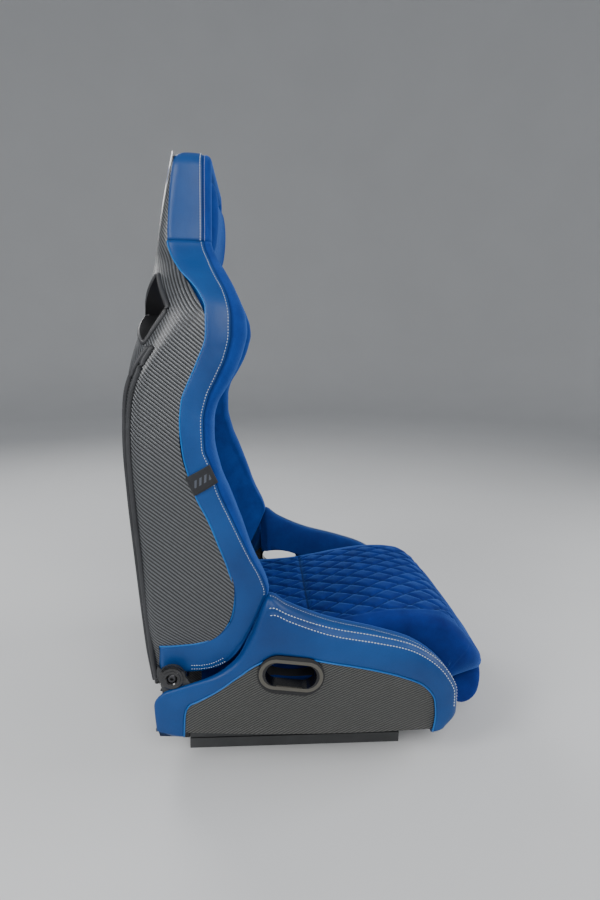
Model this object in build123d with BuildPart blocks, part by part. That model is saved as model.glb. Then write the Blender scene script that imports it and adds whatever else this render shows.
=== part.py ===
from build123d import *
from math import atan2, cos, degrees, radians, sin, tau
import os

# Reclining bucket seat on two slide rails.
# X points forward, Y to the seat's left, Z up. Origin: centre of the four floor holes,
# on the underside of the lower rails. Side parts are drawn on the right and mirrored.

os.makedirs("parts", exist_ok=True)

# ---------------------------------------------------------------- driving dimensions, mm
rail_length = 366
rail_y = 186                    # centre of each rail
lower_width = 38
lower_height = 18.5
sheet = 2.5                     # rail wall
floor_hole_x = 150
floor_hole_radius = 4.25
cap_height = 40                 # top of the upper rail
mount_front_x = 120
mount_rear_x = -160
boss_bottom = 55                # where the base shell rests on its spacers

latch_x = 0                     # pivot of the slide latch
latch_y = 160
latch_z = 26
latch_tooth_x = 32
rack_pitch = 10
handle_bar_x = 176

pivot_x = -204                  # recline hinge
pivot_z = 165
sector_radius = 32
pawl_arm = 32
strike_angle = -120             # where the pawl meets the sector, degrees
arm_inner = 231.5               # recline arm plate, distances from the centre plane
arm_outer = 236.5
flange_inner = 242.2            # hinge flange of the base shell
flange_outer = 246.2
ear_outer = 250.5
fit = 0.05                      # running fit of a shaft, radial

wall = 4                        # moulded shell
gap = 0.3
pad_half = 150                  # half width of the centre pad
thigh_half = 188                # half width of the seat cushion

lap_x, lap_z, lap_tilt = -15, 172, -7
lap_length, lap_width = 108, 57
lap_hole_length, lap_hole_width = 83, 41
harness_centre = (-229, -168, 739)
harness_lean = 40                # the strap hole runs inwards at this angle to the seat's length
harness_corners = ((-52, -8), (30, -53), (52, 2), (-4, 54))

# The pawl shaft sits a quarter turn away from the line pivot to tooth, so the tooth
# moves straight in and out of the sector.
strike = radians(strike_angle)
tooth_x = pivot_x + sector_radius * cos(strike)
tooth_z = pivot_z + sector_radius * sin(strike)
shaft_x = tooth_x - pawl_arm * sin(strike)
shaft_z = tooth_z + pawl_arm * cos(strike)

# Backrest stations: height, rear face, half width, corner radius.
back_stations = (
    (136, -238, 228, 20),
    (213, -246, 240, 22),
    (350, -258, 242, 24),
    (460, -267, 241, 25),
    (540, -271, 240, 26),
    (600, -270, 238, 30),
    (650, -266, 237, 44),
    (700, -257, 235, 76),
    (740, -250, 228, 96),
    (790, -242, 193, 78),
    (820, -237, 160, 50),
    (845, -233, 145, 32),
    (875, -228, 141, 25),
    (915, -221, 140, 24),
    (950, -214, 139, 24),
    (980, -208, 137, 24),
)
# Front of the centre pad, and the flare of the torso space: height, pad front.
pad_stations = ((130, -176), (200, -182), (300, -200), (450, -216), (550, -219), (640, -211),
                (720, -196), (800, -176), (860, -160))

# Side outlines as (x, z).
seam_points = ((-178, 161), (-136, 170), (-102, 197), (-81, 236), (-57, 288), (-51, 304))
wing_front = ((-51, 304), (-75, 358), (-128, 499), (-138, 550), (-102, 656), (-88, 709),
              (-98, 750), (-124, 797), (-150, 845))
carbon_edge = ((-203, 972), (-209, 920), (-213, 870), (-208, 825), (-182, 786), (-146, 715),
               (-186, 572), (-145, 422), (-106, 296), (-124, 240), (-178, 214))
bolster_top = ((-51, 300), (-22, 281), (43, 253), (127, 231), (196, 207), (246, 164), (272, 112))
panel_edge = ((-186, 60), (-180, 114), (-133, 143), (-68, 191), (-36, 204), (109, 178),
              (208, 140), (230, 98), (226, 50))


# ---------------------------------------------------------------- shared builders
# Solid between two distances from the centre plane, on the right, from an (x, z) face.
def right_slab(face, inner, outer):
    with BuildPart() as slab:
        with BuildSketch(Plane.XZ.offset(inner)):
            add(face)
        extrude(amount=outer - inner)
    return slab.part


# Closed outline: straight runs of points and smooth runs of points, by turns.
def outline(*runs):
    with BuildSketch() as drawing:
        with BuildLine():
            for smooth, points in runs:
                if smooth:
                    Spline(*points)
                else:
                    Polyline(*points)
        make_face()
    return drawing.sketch


# Everything inside the backrest's outer skin, drawn in by inset.
def back_body(inset):
    last = len(back_stations) - 1
    front = 3 * inset
    with BuildPart() as body:
        for index, (height, rear, half, corner) in enumerate(back_stations):
            reach = {0: -2 * inset, last: 2 * inset}.get(index, 0)
            x = rear + inset
            y = half - inset
            radius = corner - inset
            side_start = x + radius
            side_end = y - radius
            lean = radius * (1 - sin(tau / 8))
            with BuildSketch(Plane.XY.offset(height + reach)):
                with BuildLine():
                    Line((front, -y), (side_start, -y))
                    ThreePointArc((side_start, -y), (x + lean, -y + lean), (x, -side_end))
                    Line((x, -side_end), (x, side_end))
                    ThreePointArc((x, side_end), (x + lean, y - lean), (side_start, y))
                    Polyline((side_start, y), (front, y), (front, -y))
                make_face()
        loft()
    return body.part


# Turned piece on an axis across the seat: (distance from centre plane, radius) pairs.
def turned(x, z, profile):
    with BuildPart() as piece:
        with BuildSketch(Plane(origin=(x, 0, z), x_dir=(0, -1, 0), z_dir=(-1, 0, 0))):
            with BuildLine():
                Polyline(*profile, close=True)
            make_face()
        revolve(axis=Axis((x, 0, z), (0, 1, 0)))
    return piece.part


def save(part, name):
    part.label = name
    export_step(part, f"parts/{name}.step")


def save_pair(part, name):
    save(part, f"{name}_right")
    save(mirror(part, about=Plane.XZ), f"{name}_left")


# One node for a set of loose pieces, drawn on the right and mirrored.
def save_group(pieces, name):
    both = pieces + [mirror(piece, about=Plane.XZ) for piece in pieces]
    save(Compound(children=both), name)


# ---------------------------------------------------------------- lower rails
slot_count = 21
slot_start = -70
with BuildPart() as lower_rail:
    with BuildSketch(Plane.YZ.offset(-rail_length / 2)):
        with Locations((-rail_y, 0)):
            Rectangle(lower_width, lower_height, align=(Align.CENTER, Align.MIN))
        with Locations((-rail_y, sheet)):
            Rectangle(lower_width - 2 * sheet, lower_height - 2 * sheet,
                      align=(Align.CENTER, Align.MIN), mode=Mode.SUBTRACT)
        with Locations((-rail_y, lower_height - sheet)):
            Rectangle(21, sheet, align=(Align.CENTER, Align.MIN), mode=Mode.SUBTRACT)
    extrude(amount=rail_length)
    with Locations(*[(x, -rail_y, sheet) for x in (-floor_hole_x, floor_hole_x)]):
        Hole(floor_hole_radius, depth=sheet)
    # Rack: open notches along the inner edge.
    with Locations(*[(slot_start + rack_pitch * i, -rail_y + lower_width / 2 - 1.5, lower_height)
                     for i in range(slot_count)]):
        Box(5, 3.2, 8, mode=Mode.SUBTRACT)
save_pair(lower_rail.part, "lower_rail")

# ---------------------------------------------------------------- upper rails
with BuildPart() as upper_rail:
    with BuildSketch(Plane.YZ.offset(-rail_length / 2)):
        with Locations((-rail_y, cap_height)):
            Rectangle(36, sheet, align=(Align.CENTER, Align.MAX))
        for side in (-1, 1):
            with Locations((-rail_y + side * 16.75, 20)):
                Rectangle(sheet, cap_height - 20, align=(Align.CENTER, Align.MIN))
            with Locations((-rail_y + side * 8, 5.5)):
                Rectangle(sheet, cap_height - 6, align=(Align.CENTER, Align.MIN))
            with Locations((-rail_y + side * 10, 5.5)):
                Rectangle(6.5, sheet, align=(Align.CENTER, Align.MIN))
    extrude(amount=rail_length)
    with Locations(*[(x, -rail_y, cap_height) for x in (mount_rear_x, mount_front_x)]):
        Hole(4.2, depth=sheet)
    with Locations((latch_x, -rail_y + 16.75, latch_z + 3)):
        Cylinder(4, 6, rotation=(90, 0, 0), mode=Mode.SUBTRACT)
save_pair(upper_rail.part, "upper_rail")

# Plastic glides on the foot of each upper rail.
with BuildPart() as glides:
    with Locations(*[(x, -rail_y + side * 14.65, 6.75)
                     for x in (-140, -60, 60, 140) for side in (-1, 1)]):
        Box(30, 2.7, 7)
save_group([glides.part], "slide_glides")

# End caps of the upper rails.
with BuildPart() as end_caps:
    with Locations(*[(side * (rail_length / 2 + 5), -rail_y, 30) for side in (-1, 1)]):
        Box(10, 36, 20)
    fillet(end_caps.edges().filter_by(Axis.Z), 3)
save_group([end_caps.part], "rail_end_caps")


# ---------------------------------------------------------------- base shell
# Plan of the base: a shallow bow along each side, with cut front corners.
base_front = 274


def base_plan(inset):
    front = base_front
    rear_half = 254 - inset
    mid_half = 262 - inset
    front_half = 250 - inset
    with BuildSketch() as plan:
        with BuildLine():
            ThreePointArc((-233 + inset, -rear_half), (20, -mid_half), (front - 30, -front_half))
            Polyline((front - 30, -front_half), (front - inset, -front_half + 34),
                     (front - inset, front_half - 34), (front - 30, front_half))
            ThreePointArc((front - 30, front_half), (20, mid_half), (-233 + inset, rear_half))
            Line((-233 + inset, rear_half), (-233 + inset, -rear_half))
        make_face()
    return plan.sketch


def base_column(inset, bottom, top):
    with BuildPart() as column:
        with BuildSketch(Plane.XY.offset(bottom)):
            add(base_plan(inset))
        extrude(amount=top - bottom)
    return column.part


skin_inset = 1.5
shell_front = 262
pan_rear_z, pan_front_z = 72, 56         # underside of the pan at x -300 and x 300
pan_thickness = 4.5
screw_x = (-213, -197)
screw_z = 110
panel_face = outline((True, panel_edge), (False, (panel_edge[-1], panel_edge[0])))
pan_face = outline((False, ((-300, pan_rear_z), (300, pan_front_z),
                            (300, pan_front_z + pan_thickness),
                            (-300, pan_rear_z + pan_thickness), (-300, pan_rear_z))))
below_pan = outline((False, ((-300, pan_rear_z), (300, pan_front_z), (300, 20), (-300, 20),
                             (-300, pan_rear_z))))
mount_places = [(x, side * rail_y) for x in (mount_rear_x, mount_front_x) for side in (-1, 1)]


# Capsule across the seat at the lap slot, between two distances from the centre plane.
def lap_capsule(grow, inner, outer):
    height = lap_hole_width + grow
    with BuildPart() as capsule:
        with BuildSketch(Plane.XZ.offset(inner)):
            with Locations(Location((lap_x, lap_z, 0), (0, 0, lap_tilt))):
                SlotOverall(lap_hole_length + grow, height)
        extrude(amount=outer - inner)
    return capsule.part


with BuildPart() as base_shell:
    # Side walls, seen below the leather.
    add(base_column(skin_inset, 50, 210))
    add(base_column(skin_inset + wall, 50, 215), mode=Mode.SUBTRACT)
    add(right_slab(panel_face, -300, 300), mode=Mode.INTERSECT)
    with BuildPart(mode=Mode.PRIVATE) as pan:
        add(base_column(skin_inset, 50, 90))
        add(right_slab(pan_face, -300, 300), mode=Mode.INTERSECT)
        with Locations((shell_front + 30, 0, 70)):
            Box(60, 600, 60, mode=Mode.SUBTRACT)
    add(pan.part)
    # Low rear lip and hinge flanges.
    with Locations((-228, 0, 86)):
        Box(wall, 2 * flange_inner, 32)
    for side in (-1, 1):
        with Locations((-192, side * (flange_inner + flange_outer) / 2, 98)):
            Box(70, wall, 58)
    add(right_slab(below_pan, -300, 300), mode=Mode.SUBTRACT)
    # Flat bosses over the rail spacers.
    with Locations(*[(x, y, (boss_bottom + 71) / 2) for x, y in mount_places]):
        Cylinder(13, 71 - boss_bottom)
    with Locations(*[(x, y, 65) for x, y in mount_places]):
        Cylinder(4.2, 30, mode=Mode.SUBTRACT)
    # Lap slots, pawl shaft and ear screws.
    add(lap_capsule(10, -300, 300), mode=Mode.SUBTRACT)
    with Locations(Location((shaft_x, 0, shaft_z), (90, 0, 0))):
        Cylinder(8, 600, mode=Mode.SUBTRACT)
    with Locations(*[Location((x, 0, screw_z), (90, 0, 0)) for x in screw_x]):
        Cylinder(3.05, 600, mode=Mode.SUBTRACT)
save(base_shell.part, "base_shell")

# Spacers and bolts between the shell and the upper rails.
with BuildPart() as spacers:
    with Locations(*[(x, -rail_y, cap_height) for x in (mount_rear_x, mount_front_x)]):
        Cylinder(9, boss_bottom - cap_height, align=(Align.CENTER, Align.CENTER, Align.MIN))
        Cylinder(4.2, boss_bottom - cap_height, align=(Align.CENTER, Align.CENTER, Align.MIN),
                 mode=Mode.SUBTRACT)
save_group([spacers.part], "rail_spacers")

bolt_head_z = 76.5
nut_height = 6
with BuildPart() as rail_bolts:
    for x in (mount_rear_x, mount_front_x):
        with Locations((x, -rail_y, bolt_head_z)):
            Cylinder(7, 5, align=(Align.CENTER, Align.CENTER, Align.MIN))
        with Locations((x, -rail_y, cap_height - sheet - nut_height)):
            Cylinder(4, bolt_head_z - cap_height + sheet + nut_height,
                     align=(Align.CENTER, Align.CENTER, Align.MIN))
        with BuildSketch(Plane.XY.offset(cap_height - sheet - nut_height)):
            with Locations((x, -rail_y)):
                RegularPolygon(6.4, 6, major_radius=False)
        extrude(amount=nut_height)
        with BuildSketch(Plane.XY.offset(bolt_head_z + 5)):
            with Locations((x, -rail_y)):
                RegularPolygon(3, 6, major_radius=False)
        extrude(amount=-3, mode=Mode.SUBTRACT)
save_group([rail_bolts.part], "rail_bolts")


# ---------------------------------------------------------------- seat cushion
cushion_top = ((-170, 188), (-60, 193), (16, 201), (109, 219), (205, 228), (265, 221),
               (312, 176), (345, 128), (352, 100), (340, 68), (316, 56))
cushion_face = outline((True, cushion_top),
                       (False, ((316, 56), (270, 64), (266, 68), (-170, 78), (-170, 188))))
with BuildPart() as cushion_plan:
    with BuildSketch(Plane.XY.offset(40)):
        with Locations((90, 0)):
            RectangleRounded(524, 2 * thigh_half, 42)
    extrude(amount=220)
with BuildPart() as seat_cushion:
    add(right_slab(cushion_face, -thigh_half, thigh_half))
    add(cushion_plan.part, mode=Mode.INTERSECT)
    # Hollows over the four mounting bolts.
    with Locations(*[(x, y, 70) for x, y in mount_places]):
        Cylinder(12, 40, mode=Mode.SUBTRACT)
save(seat_cushion.part, "seat_cushion")

# ---------------------------------------------------------------- base bolsters
slot_front = (-174, 154)
slot_rear = (-219, 138)
cheek_top = (-224, 150)
bolster_seam = ((-174, 154), (-136, 167), (-101, 194), (-79, 234), (-55, 286), (-51, 300))
bolster_bottom = ((272, 112), (270, 84), (252, 60))
bolster_face = outline((False, ((-224, 71), (-231, 94), (-233, 118), cheek_top, slot_rear,
                                slot_front)),
                       (True, bolster_seam), (True, bolster_top), (True, bolster_bottom),
                       (False, ((252, 60), (-224, 71))))
ear_face = outline((False, ((-225, 165), (-219, 136), (-219, 100), (-190, 100), (-187, 118),
                            (-173, 150), (-183, 165), (-225, 165))))
ear_clearance = outline((False, ((-226, 170), (-220.5, 136), (-220.5, 98), (-186, 98),
                                 (-182, 118), (-171, 150), (-181, 170), (-226, 170))))
with BuildPart() as bolster_core:
    add(right_slab(bolster_face, 190, 300))
    add(base_column(skin_inset + wall + 0.2, 50, 320), mode=Mode.INTERSECT)
    with Locations((-204, -200, 100)):
        Box(90, 200, 260, mode=Mode.SUBTRACT)
    add(right_slab(pan_face, -300, 300), mode=Mode.SUBTRACT)
    add(right_slab(below_pan, -300, 300), mode=Mode.SUBTRACT)
with BuildPart() as bolster_skin:
    add(right_slab(bolster_face, 200, 300))
    add(base_column(0, 50, 320), mode=Mode.INTERSECT)
    add(base_column(skin_inset + wall + 0.2, 40, 330), mode=Mode.SUBTRACT)
    add(right_slab(panel_face, 0, 300), mode=Mode.SUBTRACT)
    add(right_slab(pan_face, -300, 300), mode=Mode.SUBTRACT)
    add(right_slab(below_pan, -300, 300), mode=Mode.SUBTRACT)
with BuildPart() as base_bolster:
    add(bolster_core.part)
    add(bolster_skin.part)
    with Locations((-197, -(flange_outer + 0.2) + 30, 105)):
        Box(82, 60, 120, mode=Mode.SUBTRACT)
    add(right_slab(ear_clearance, flange_outer - 1, ear_outer + 0.3), mode=Mode.SUBTRACT)
    with Locations(*[Location((x, -249, screw_z), (90, 0, 0)) for x in screw_x]):
        Cylinder(6, 7.5, mode=Mode.SUBTRACT)
    with Locations(Location((pivot_x, -(ear_outer + 20), pivot_z), (90, 0, 0))):
        Cylinder(21, 40, mode=Mode.SUBTRACT)
    with Locations(*[(x, y, 70) for x, y in mount_places]):
        Cylinder(14, 40, mode=Mode.SUBTRACT)
    with Locations(Location((shaft_x, -250, shaft_z), (90, 0, 0))):
        Cylinder(8.4, 40, mode=Mode.SUBTRACT)
    # The lap slot widens towards the occupant.
    add(lap_capsule(12, 200, 300), mode=Mode.SUBTRACT)
    add(lap_capsule(34, 180, 240), mode=Mode.SUBTRACT)
save_pair(base_bolster.part, "base_bolster")

# Lap slot bezel: a flat ring outside and a sleeve through the shell.
lap_face = 264.4
with BuildPart() as lap_bezel:
    add(lap_capsule(9, 240, lap_face))
    add(lap_capsule(lap_length - lap_hole_length, 262.7, lap_face + 1.1))
    add(lap_capsule(0, 230, 280), mode=Mode.SUBTRACT)
save_pair(lap_bezel.part, "lap_bezel")

# ---------------------------------------------------------------- recline hinge, base side
with BuildPart() as hinge_ear:
    add(right_slab(ear_face, flange_outer, ear_outer))
    with Locations(Location((pivot_x, -(flange_outer + ear_outer) / 2, pivot_z), (90, 0, 0))):
        Cylinder(21, ear_outer - flange_outer)
        Cylinder(5 + fit, 20, mode=Mode.SUBTRACT)
    with Locations(*[Location((x, -248, screw_z), (90, 0, 0)) for x in screw_x]):
        Cylinder(3.05, 20, mode=Mode.SUBTRACT)
    with Locations(Location((shaft_x, -248, shaft_z), (90, 0, 0))):
        Cylinder(6.5, 20, mode=Mode.SUBTRACT)
save_pair(hinge_ear.part, "hinge_ear")

ear_screws = [turned(x, screw_z, ((flange_inner - 4, 0), (flange_inner - 4, 3), (ear_outer, 3),
                                  (ear_outer, 5.5), (ear_outer + 2, 4.5), (ear_outer + 2, 0)))
              for x in screw_x]
save_group(ear_screws, "ear_screws")

# Stepped cap round the bolt head.
hinge_cap = turned(pivot_x, pivot_z, ((ear_outer, 8), (ear_outer, 20.5), (ear_outer + 2.2, 20.5),
                                      (ear_outer + 3.4, 18), (ear_outer + 4.4, 17.6),
                                      (ear_outer + 5.2, 14), (ear_outer + 6.2, 13.4),
                                      (ear_outer + 6.8, 9.6), (ear_outer + 5, 8)))
save_pair(hinge_cap, "hinge_cap")

bush_inner = 231
bush_outer = 244.6
with BuildPart() as pivot_bolt:
    add(turned(pivot_x, pivot_z, ((bush_inner - 7, 0), (bush_inner - 7, 5), (ear_outer, 5),
                                  (ear_outer, 7.5), (ear_outer + 3.5, 7.2), (ear_outer + 5, 5.6),
                                  (ear_outer + 5, 0))))
    with BuildSketch(Plane.XZ.offset(ear_outer + 5)):
        with Locations((pivot_x, pivot_z)):
            RegularPolygon(2.6, 6, major_radius=False)
    extrude(amount=-3, mode=Mode.SUBTRACT)
save_pair(pivot_bolt.part, "pivot_bolt")

with BuildPart() as pivot_nut:
    with BuildSketch(Plane.XZ.offset(bush_inner - 6.3)):
        with Locations((pivot_x, pivot_z)):
            RegularPolygon(8.5, 6, major_radius=False)
            Circle(5, mode=Mode.SUBTRACT)
    extrude(amount=6)
save_group([pivot_nut.part], "pivot_nuts")

washer = turned(pivot_x, pivot_z, ((bush_outer + 0.3, 5.1), (bush_outer + 0.3, 12),
                                   (flange_outer, 12), (flange_outer, 5.1)))
save_group([washer], "pivot_washers")

# Rubber stops that hold the back upright.
stop_radius = 31.6
stop_angle = radians(-55)
stop_x = pivot_x + stop_radius * cos(stop_angle)
stop_z = pivot_z + stop_radius * sin(stop_angle)
stop_pin = turned(stop_x, stop_z, ((arm_inner, 0), (arm_inner, 4), (flange_inner, 4),
                                   (flange_inner, 0)))
save_group([stop_pin], "upright_stops")

# ---------------------------------------------------------------- recline arm, on the back
arm_screw_places = ((-217, 250), (-217, 294))
tooth_step = 8.4
tooth_count = 6
with BuildPart() as back_arm:
    with BuildSketch(Plane.XZ.offset(arm_inner)):
        with Locations((pivot_x, pivot_z)):
            Circle(20)
        with BuildLine():
            Polyline((pivot_x - 18, pivot_z + 6), (-227, 235), (-227, 310), (-206, 310),
                     (-192, 235), (pivot_x + 18, pivot_z + 6), close=True)
        make_face()
        # Toothed sector and the lug that meets the stop.
        for index in range(tooth_count):
            turn = strike_angle + tooth_step * (0.5 - index)
            with Locations(Location((pivot_x, pivot_z, 0), (0, 0, turn))):
                with Locations((24, 0)):
                    Rectangle(14, 2)
        with Locations(Location((pivot_x, pivot_z, 0), (0, 0, strike_angle - 15))):
            with BuildSketch(mode=Mode.PRIVATE) as fan:
                Circle(27)
                with Locations((-40, 0)):
                    Rectangle(100, 100, mode=Mode.SUBTRACT)
            add(fan.sketch)
        with Locations(Location((pivot_x, pivot_z, 0), (0, 0, -36))):
            with Locations((27, 0)):
                Rectangle(18, 8)
        with Locations((pivot_x, pivot_z)):
            Circle(8, mode=Mode.SUBTRACT)
        with Locations(*arm_screw_places):
            Circle(3.05, mode=Mode.SUBTRACT)
    extrude(amount=arm_outer - arm_inner)
save_pair(back_arm.part, "back_arm")

pivot_bush = turned(pivot_x, pivot_z, ((bush_inner, 5 + fit), (bush_inner, 8), (bush_outer, 8),
                                       (bush_outer, 5 + fit)))
save_pair(pivot_bush, "pivot_bush")

arm_screws = [turned(x, z, ((arm_inner - 3, 0), (arm_inner - 3, 5), (arm_inner, 5),
                            (arm_inner, 3), (arm_outer + 3, 3), (arm_outer + 3, 0)))
              for x, z in arm_screw_places]
save_group(arm_screws, "arm_screws")

# ---------------------------------------------------------------- recline pawls and shaft
shaft_radius = 5
lever_y = 266
with BuildPart() as pawl_shaft:
    add(turned(shaft_x, shaft_z, ((-(lever_y + 5), 0), (-(lever_y + 5), shaft_radius),
                                  (249, shaft_radius), (249, 0))))
save(pawl_shaft.part, "pawl_shaft")

pawl_turn = degrees(atan2(tooth_z - shaft_z, tooth_x - shaft_x))
with BuildPart() as recline_pawl:
    with BuildSketch(Plane.XZ.offset(arm_inner)):
        with Locations((shaft_x, shaft_z)):
            Circle(9)
        with Locations(Location((shaft_x, shaft_z, 0), (0, 0, pawl_turn))):
            with Locations((pawl_arm / 2, 3.5)):
                Rectangle(pawl_arm + 6, 7)
            with Locations((pawl_arm, 1)):
                Rectangle(1.6, 2.6)
        with Locations((shaft_x, shaft_z)):
            Circle(shaft_radius, mode=Mode.SUBTRACT)
    extrude(amount=arm_outer - arm_inner)
save_pair(recline_pawl.part, "recline_pawl")

shaft_bush = turned(shaft_x, shaft_z, ((flange_inner - 1, shaft_radius + fit),
                                       (flange_inner - 1, 8), (flange_outer, 8),
                                       (flange_outer, shaft_radius + fit)))
save_group([shaft_bush], "shaft_bushes")

lever_tip = (-86, 118)
with BuildPart() as recline_lever:
    with BuildSketch(Plane.XZ.offset(-lever_y - 4)):
        with Locations((shaft_x, shaft_z)):
            Circle(10)
        with BuildLine():
            Polyline((shaft_x, shaft_z + 9), (lever_tip[0], lever_tip[1] + 6),
                     (lever_tip[0], lever_tip[1] - 6), (shaft_x, shaft_z - 9), close=True)
        make_face()
        with Locations((shaft_x, shaft_z)):
            Circle(shaft_radius, mode=Mode.SUBTRACT)
    extrude(amount=4)
save(recline_lever.part, "recline_lever")

with BuildPart() as lever_grip:
    with BuildSketch(Plane.XZ.offset(-lever_y - 9)):
        with Locations((-112, 119.5)):
            SlotOverall(66, 19)
    extrude(amount=11)
    fillet(lever_grip.edges().group_by(Axis.Y)[-1], 3)
    add(recline_lever.part, mode=Mode.SUBTRACT)
save(lever_grip.part, "lever_grip")

# ---------------------------------------------------------------- springs
def coil(x, z, y_start, radius, wire, pitch, turns):
    with BuildPart() as spring:
        with BuildLine():
            Helix(pitch, pitch * turns, radius, center=(x, y_start, z), direction=(0, 1, 0))
        with BuildSketch(Plane(origin=(x + radius, y_start, z), z_dir=(0, 1, 0))):
            Circle(wire)
        sweep(is_frenet=True)
    return spring.part


recline_spring = coil(shaft_x, shaft_z, -230, 6.8, 1.1, 2.6, 3)
save_pair(recline_spring, "recline_spring")

# ---------------------------------------------------------------- slide release
latch_thick = 4
pin_radius = 4
with BuildPart() as latch_pin:
    add(turned(latch_x, latch_z + 3, ((latch_y - 4, 0), (latch_y - 4, 6), (latch_y - 1.5, 6),
                                      (latch_y - 1.5, pin_radius), (172, pin_radius), (172, 0))))
save_group([latch_pin.part], "latch_pins")

with BuildPart() as latch_lever:
    with BuildSketch(Plane.XZ.offset(latch_y)):
        with Locations((latch_x, latch_z + 3)):
            Circle(9)
        with BuildLine():
            Polyline((latch_x, 38), (70, 34), (handle_bar_x, 30), (handle_bar_x, 20),
                     (70, 22.4), (latch_x, 22.4), close=True)
        make_face()
        with Locations((latch_x, latch_z + 3)):
            Circle(pin_radius + fit, mode=Mode.SUBTRACT)
    extrude(amount=latch_thick)
    # Teeth that hang in the rack.
    with Locations(*[(latch_tooth_x + rack_pitch * (i - 1), -(latch_y + latch_thick + 1.7), 22.5)
                     for i in range(3)]):
        Box(3.6, 4, 6.8)
save_pair(latch_lever.part, "latch_lever")

bar_radius = 5
with BuildPart() as release_bar:
    with BuildLine() as bar_path:
        FilletPolyline((handle_bar_x - 30, -(latch_y - bar_radius), 26),
                       (handle_bar_x, -(latch_y - bar_radius), 26),
                       (handle_bar_x, latch_y - bar_radius, 26),
                       (handle_bar_x - 30, latch_y - bar_radius, 26), radius=16)
    with BuildSketch(Plane(origin=bar_path.wire() @ 0, z_dir=bar_path.wire() % 0)):
        Circle(bar_radius)
    sweep()
save(release_bar.part, "release_bar")

with BuildPart() as bar_grip:
    with BuildSketch(Plane.XZ.offset(60)):
        with Locations((handle_bar_x, 26)):
            Circle(8)
            Circle(bar_radius + 0.02, mode=Mode.SUBTRACT)
    extrude(amount=-120)
    fillet(bar_grip.edges().filter_by(GeomType.CIRCLE).sort_by(SortBy.RADIUS)[-2:], 1.5)
save(bar_grip.part, "bar_grip")

# ---------------------------------------------------------------- back shell
skin = back_body(0)
lining = back_body(wall)
leather = back_body(0.3)
filling = back_body(wall + 0.3)

shell_face = outline((False, ((-236, 136), (-300, 136), (-300, 985), (-208, 985), carbon_edge[0])),
                     (True, carbon_edge), (False, (carbon_edge[-1], (-226, 213), (-222, 168),
                                                   (-236, 136))))
shell_clearance = outline((False, ((-235, 120), (-310, 120), (-310, 1000), (-203, 1000),
                                   (carbon_edge[0][0] + 0.4, 972))),
                          (True, [(x + 0.4, z) for x, z in carbon_edge]),
                          (False, ((carbon_edge[-1][0] + 0.4, 214), (-225.6, 212.5),
                                   (-221.4, 168), (-235, 120))))


# Slanting diamond hole for a shoulder strap, scaled about its middle; reach is its length outwards.
def harness_diamond(scale, reach):
    lean = radians(harness_lean)
    mouth = Plane(origin=harness_centre, x_dir=(sin(lean), -cos(lean), 0),
                  z_dir=(-cos(lean), -sin(lean), 0))
    with BuildPart() as diamond:
        with BuildSketch(mouth.offset(reach)):
            Polygon(*[(x * scale, z * scale) for x, z in harness_corners], align=None)
        extrude(amount=-reach - 110)
    return diamond.part


strap_hole = harness_diamond(1.005, 90)

# Room for the toothed hub beside the lower corner of the shell.
hub_room = turned(pivot_x, pivot_z, ((arm_inner - 1, 0), (arm_inner - 1, 34),
                                     (arm_outer + 1, 34), (arm_outer + 1, 0)))

with BuildPart() as back_shell:
    add(skin)
    add(lining, mode=Mode.SUBTRACT)
    add(right_slab(shell_face, -300, 300), mode=Mode.INTERSECT)
    add(strap_hole, mode=Mode.SUBTRACT)
    add(mirror(strap_hole, about=Plane.XZ), mode=Mode.SUBTRACT)
    with Locations(*[Location((x, 0, z), (90, 0, 0)) for x, z in arm_screw_places]):
        Cylinder(3.05, 2 * (arm_outer + 3.2), mode=Mode.SUBTRACT)
    add(hub_room, mode=Mode.SUBTRACT)
    add(mirror(hub_room, about=Plane.XZ), mode=Mode.SUBTRACT)
    # Relief over the recline arms, inside the side walls.
    with Locations((-207, 0, 214)):
        Box(44, 2 * (arm_outer + 0.8), 10, mode=Mode.SUBTRACT)
save(back_shell.part, "back_shell")


# ---------------------------------------------------------------- back padding
# Space for the torso: trapezoids that widen forwards.
torso_half = pad_half - 2
with BuildPart() as torso_space:
    for height, pad_front in pad_stations:
        with BuildSketch(Plane.XY.offset(height)):
            with BuildLine():
                Polyline((pad_front, -torso_half), (20, -(torso_half + 78)),
                         (20, torso_half + 78), (pad_front, torso_half), close=True)
            make_face()
    loft(ruled=True)

wing_face = outline((False, ((-222, 170), (-222, 161), seam_points[0])), (True, seam_points),
                    (True, wing_front), (False, (wing_front[-1], (-300, 845), (-300, 170),
                                                 (-222, 170))))
with BuildPart() as back_bolster:
    add(filling)
    add(right_slab(wing_face, pad_half + gap, 300), mode=Mode.INTERSECT)
    add(torso_space.part, mode=Mode.SUBTRACT)
    add(strap_hole, mode=Mode.SUBTRACT)
    # Room for the hinge and for the recline arm.
    add(turned(pivot_x, pivot_z, ((200, 0), (200, 34), (arm_outer + 1, 34), (arm_outer + 1, 13),
                                  (260, 13), (260, 0))), mode=Mode.SUBTRACT)
    with Locations((-214, -(arm_inner + 15.5), 240)):
        Box(56, 40, 150, mode=Mode.SUBTRACT)
    # The foot of the wing ends above the seat cushion.
    with Locations((-75, -160, 130)):
        Box(200, 2 * (thigh_half - 158), 164, mode=Mode.SUBTRACT)
save_pair(back_bolster.part, "back_bolster")

pad_face = outline((False, ((-150, 210), (-176, 165), (-190, 150), (-238, 146), (-300, 146),
                            (-300, 799.5), (-100, 799.5), (-100, 210), (-150, 210))))
with BuildPart() as back_pad:
    add(filling)
    add(right_slab(pad_face, -pad_half, pad_half), mode=Mode.INTERSECT)
    add(torso_space.part, mode=Mode.SUBTRACT)
    add(strap_hole, mode=Mode.SUBTRACT)
    add(mirror(strap_hole, about=Plane.XZ), mode=Mode.SUBTRACT)
save(back_pad.part, "back_pad")

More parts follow.
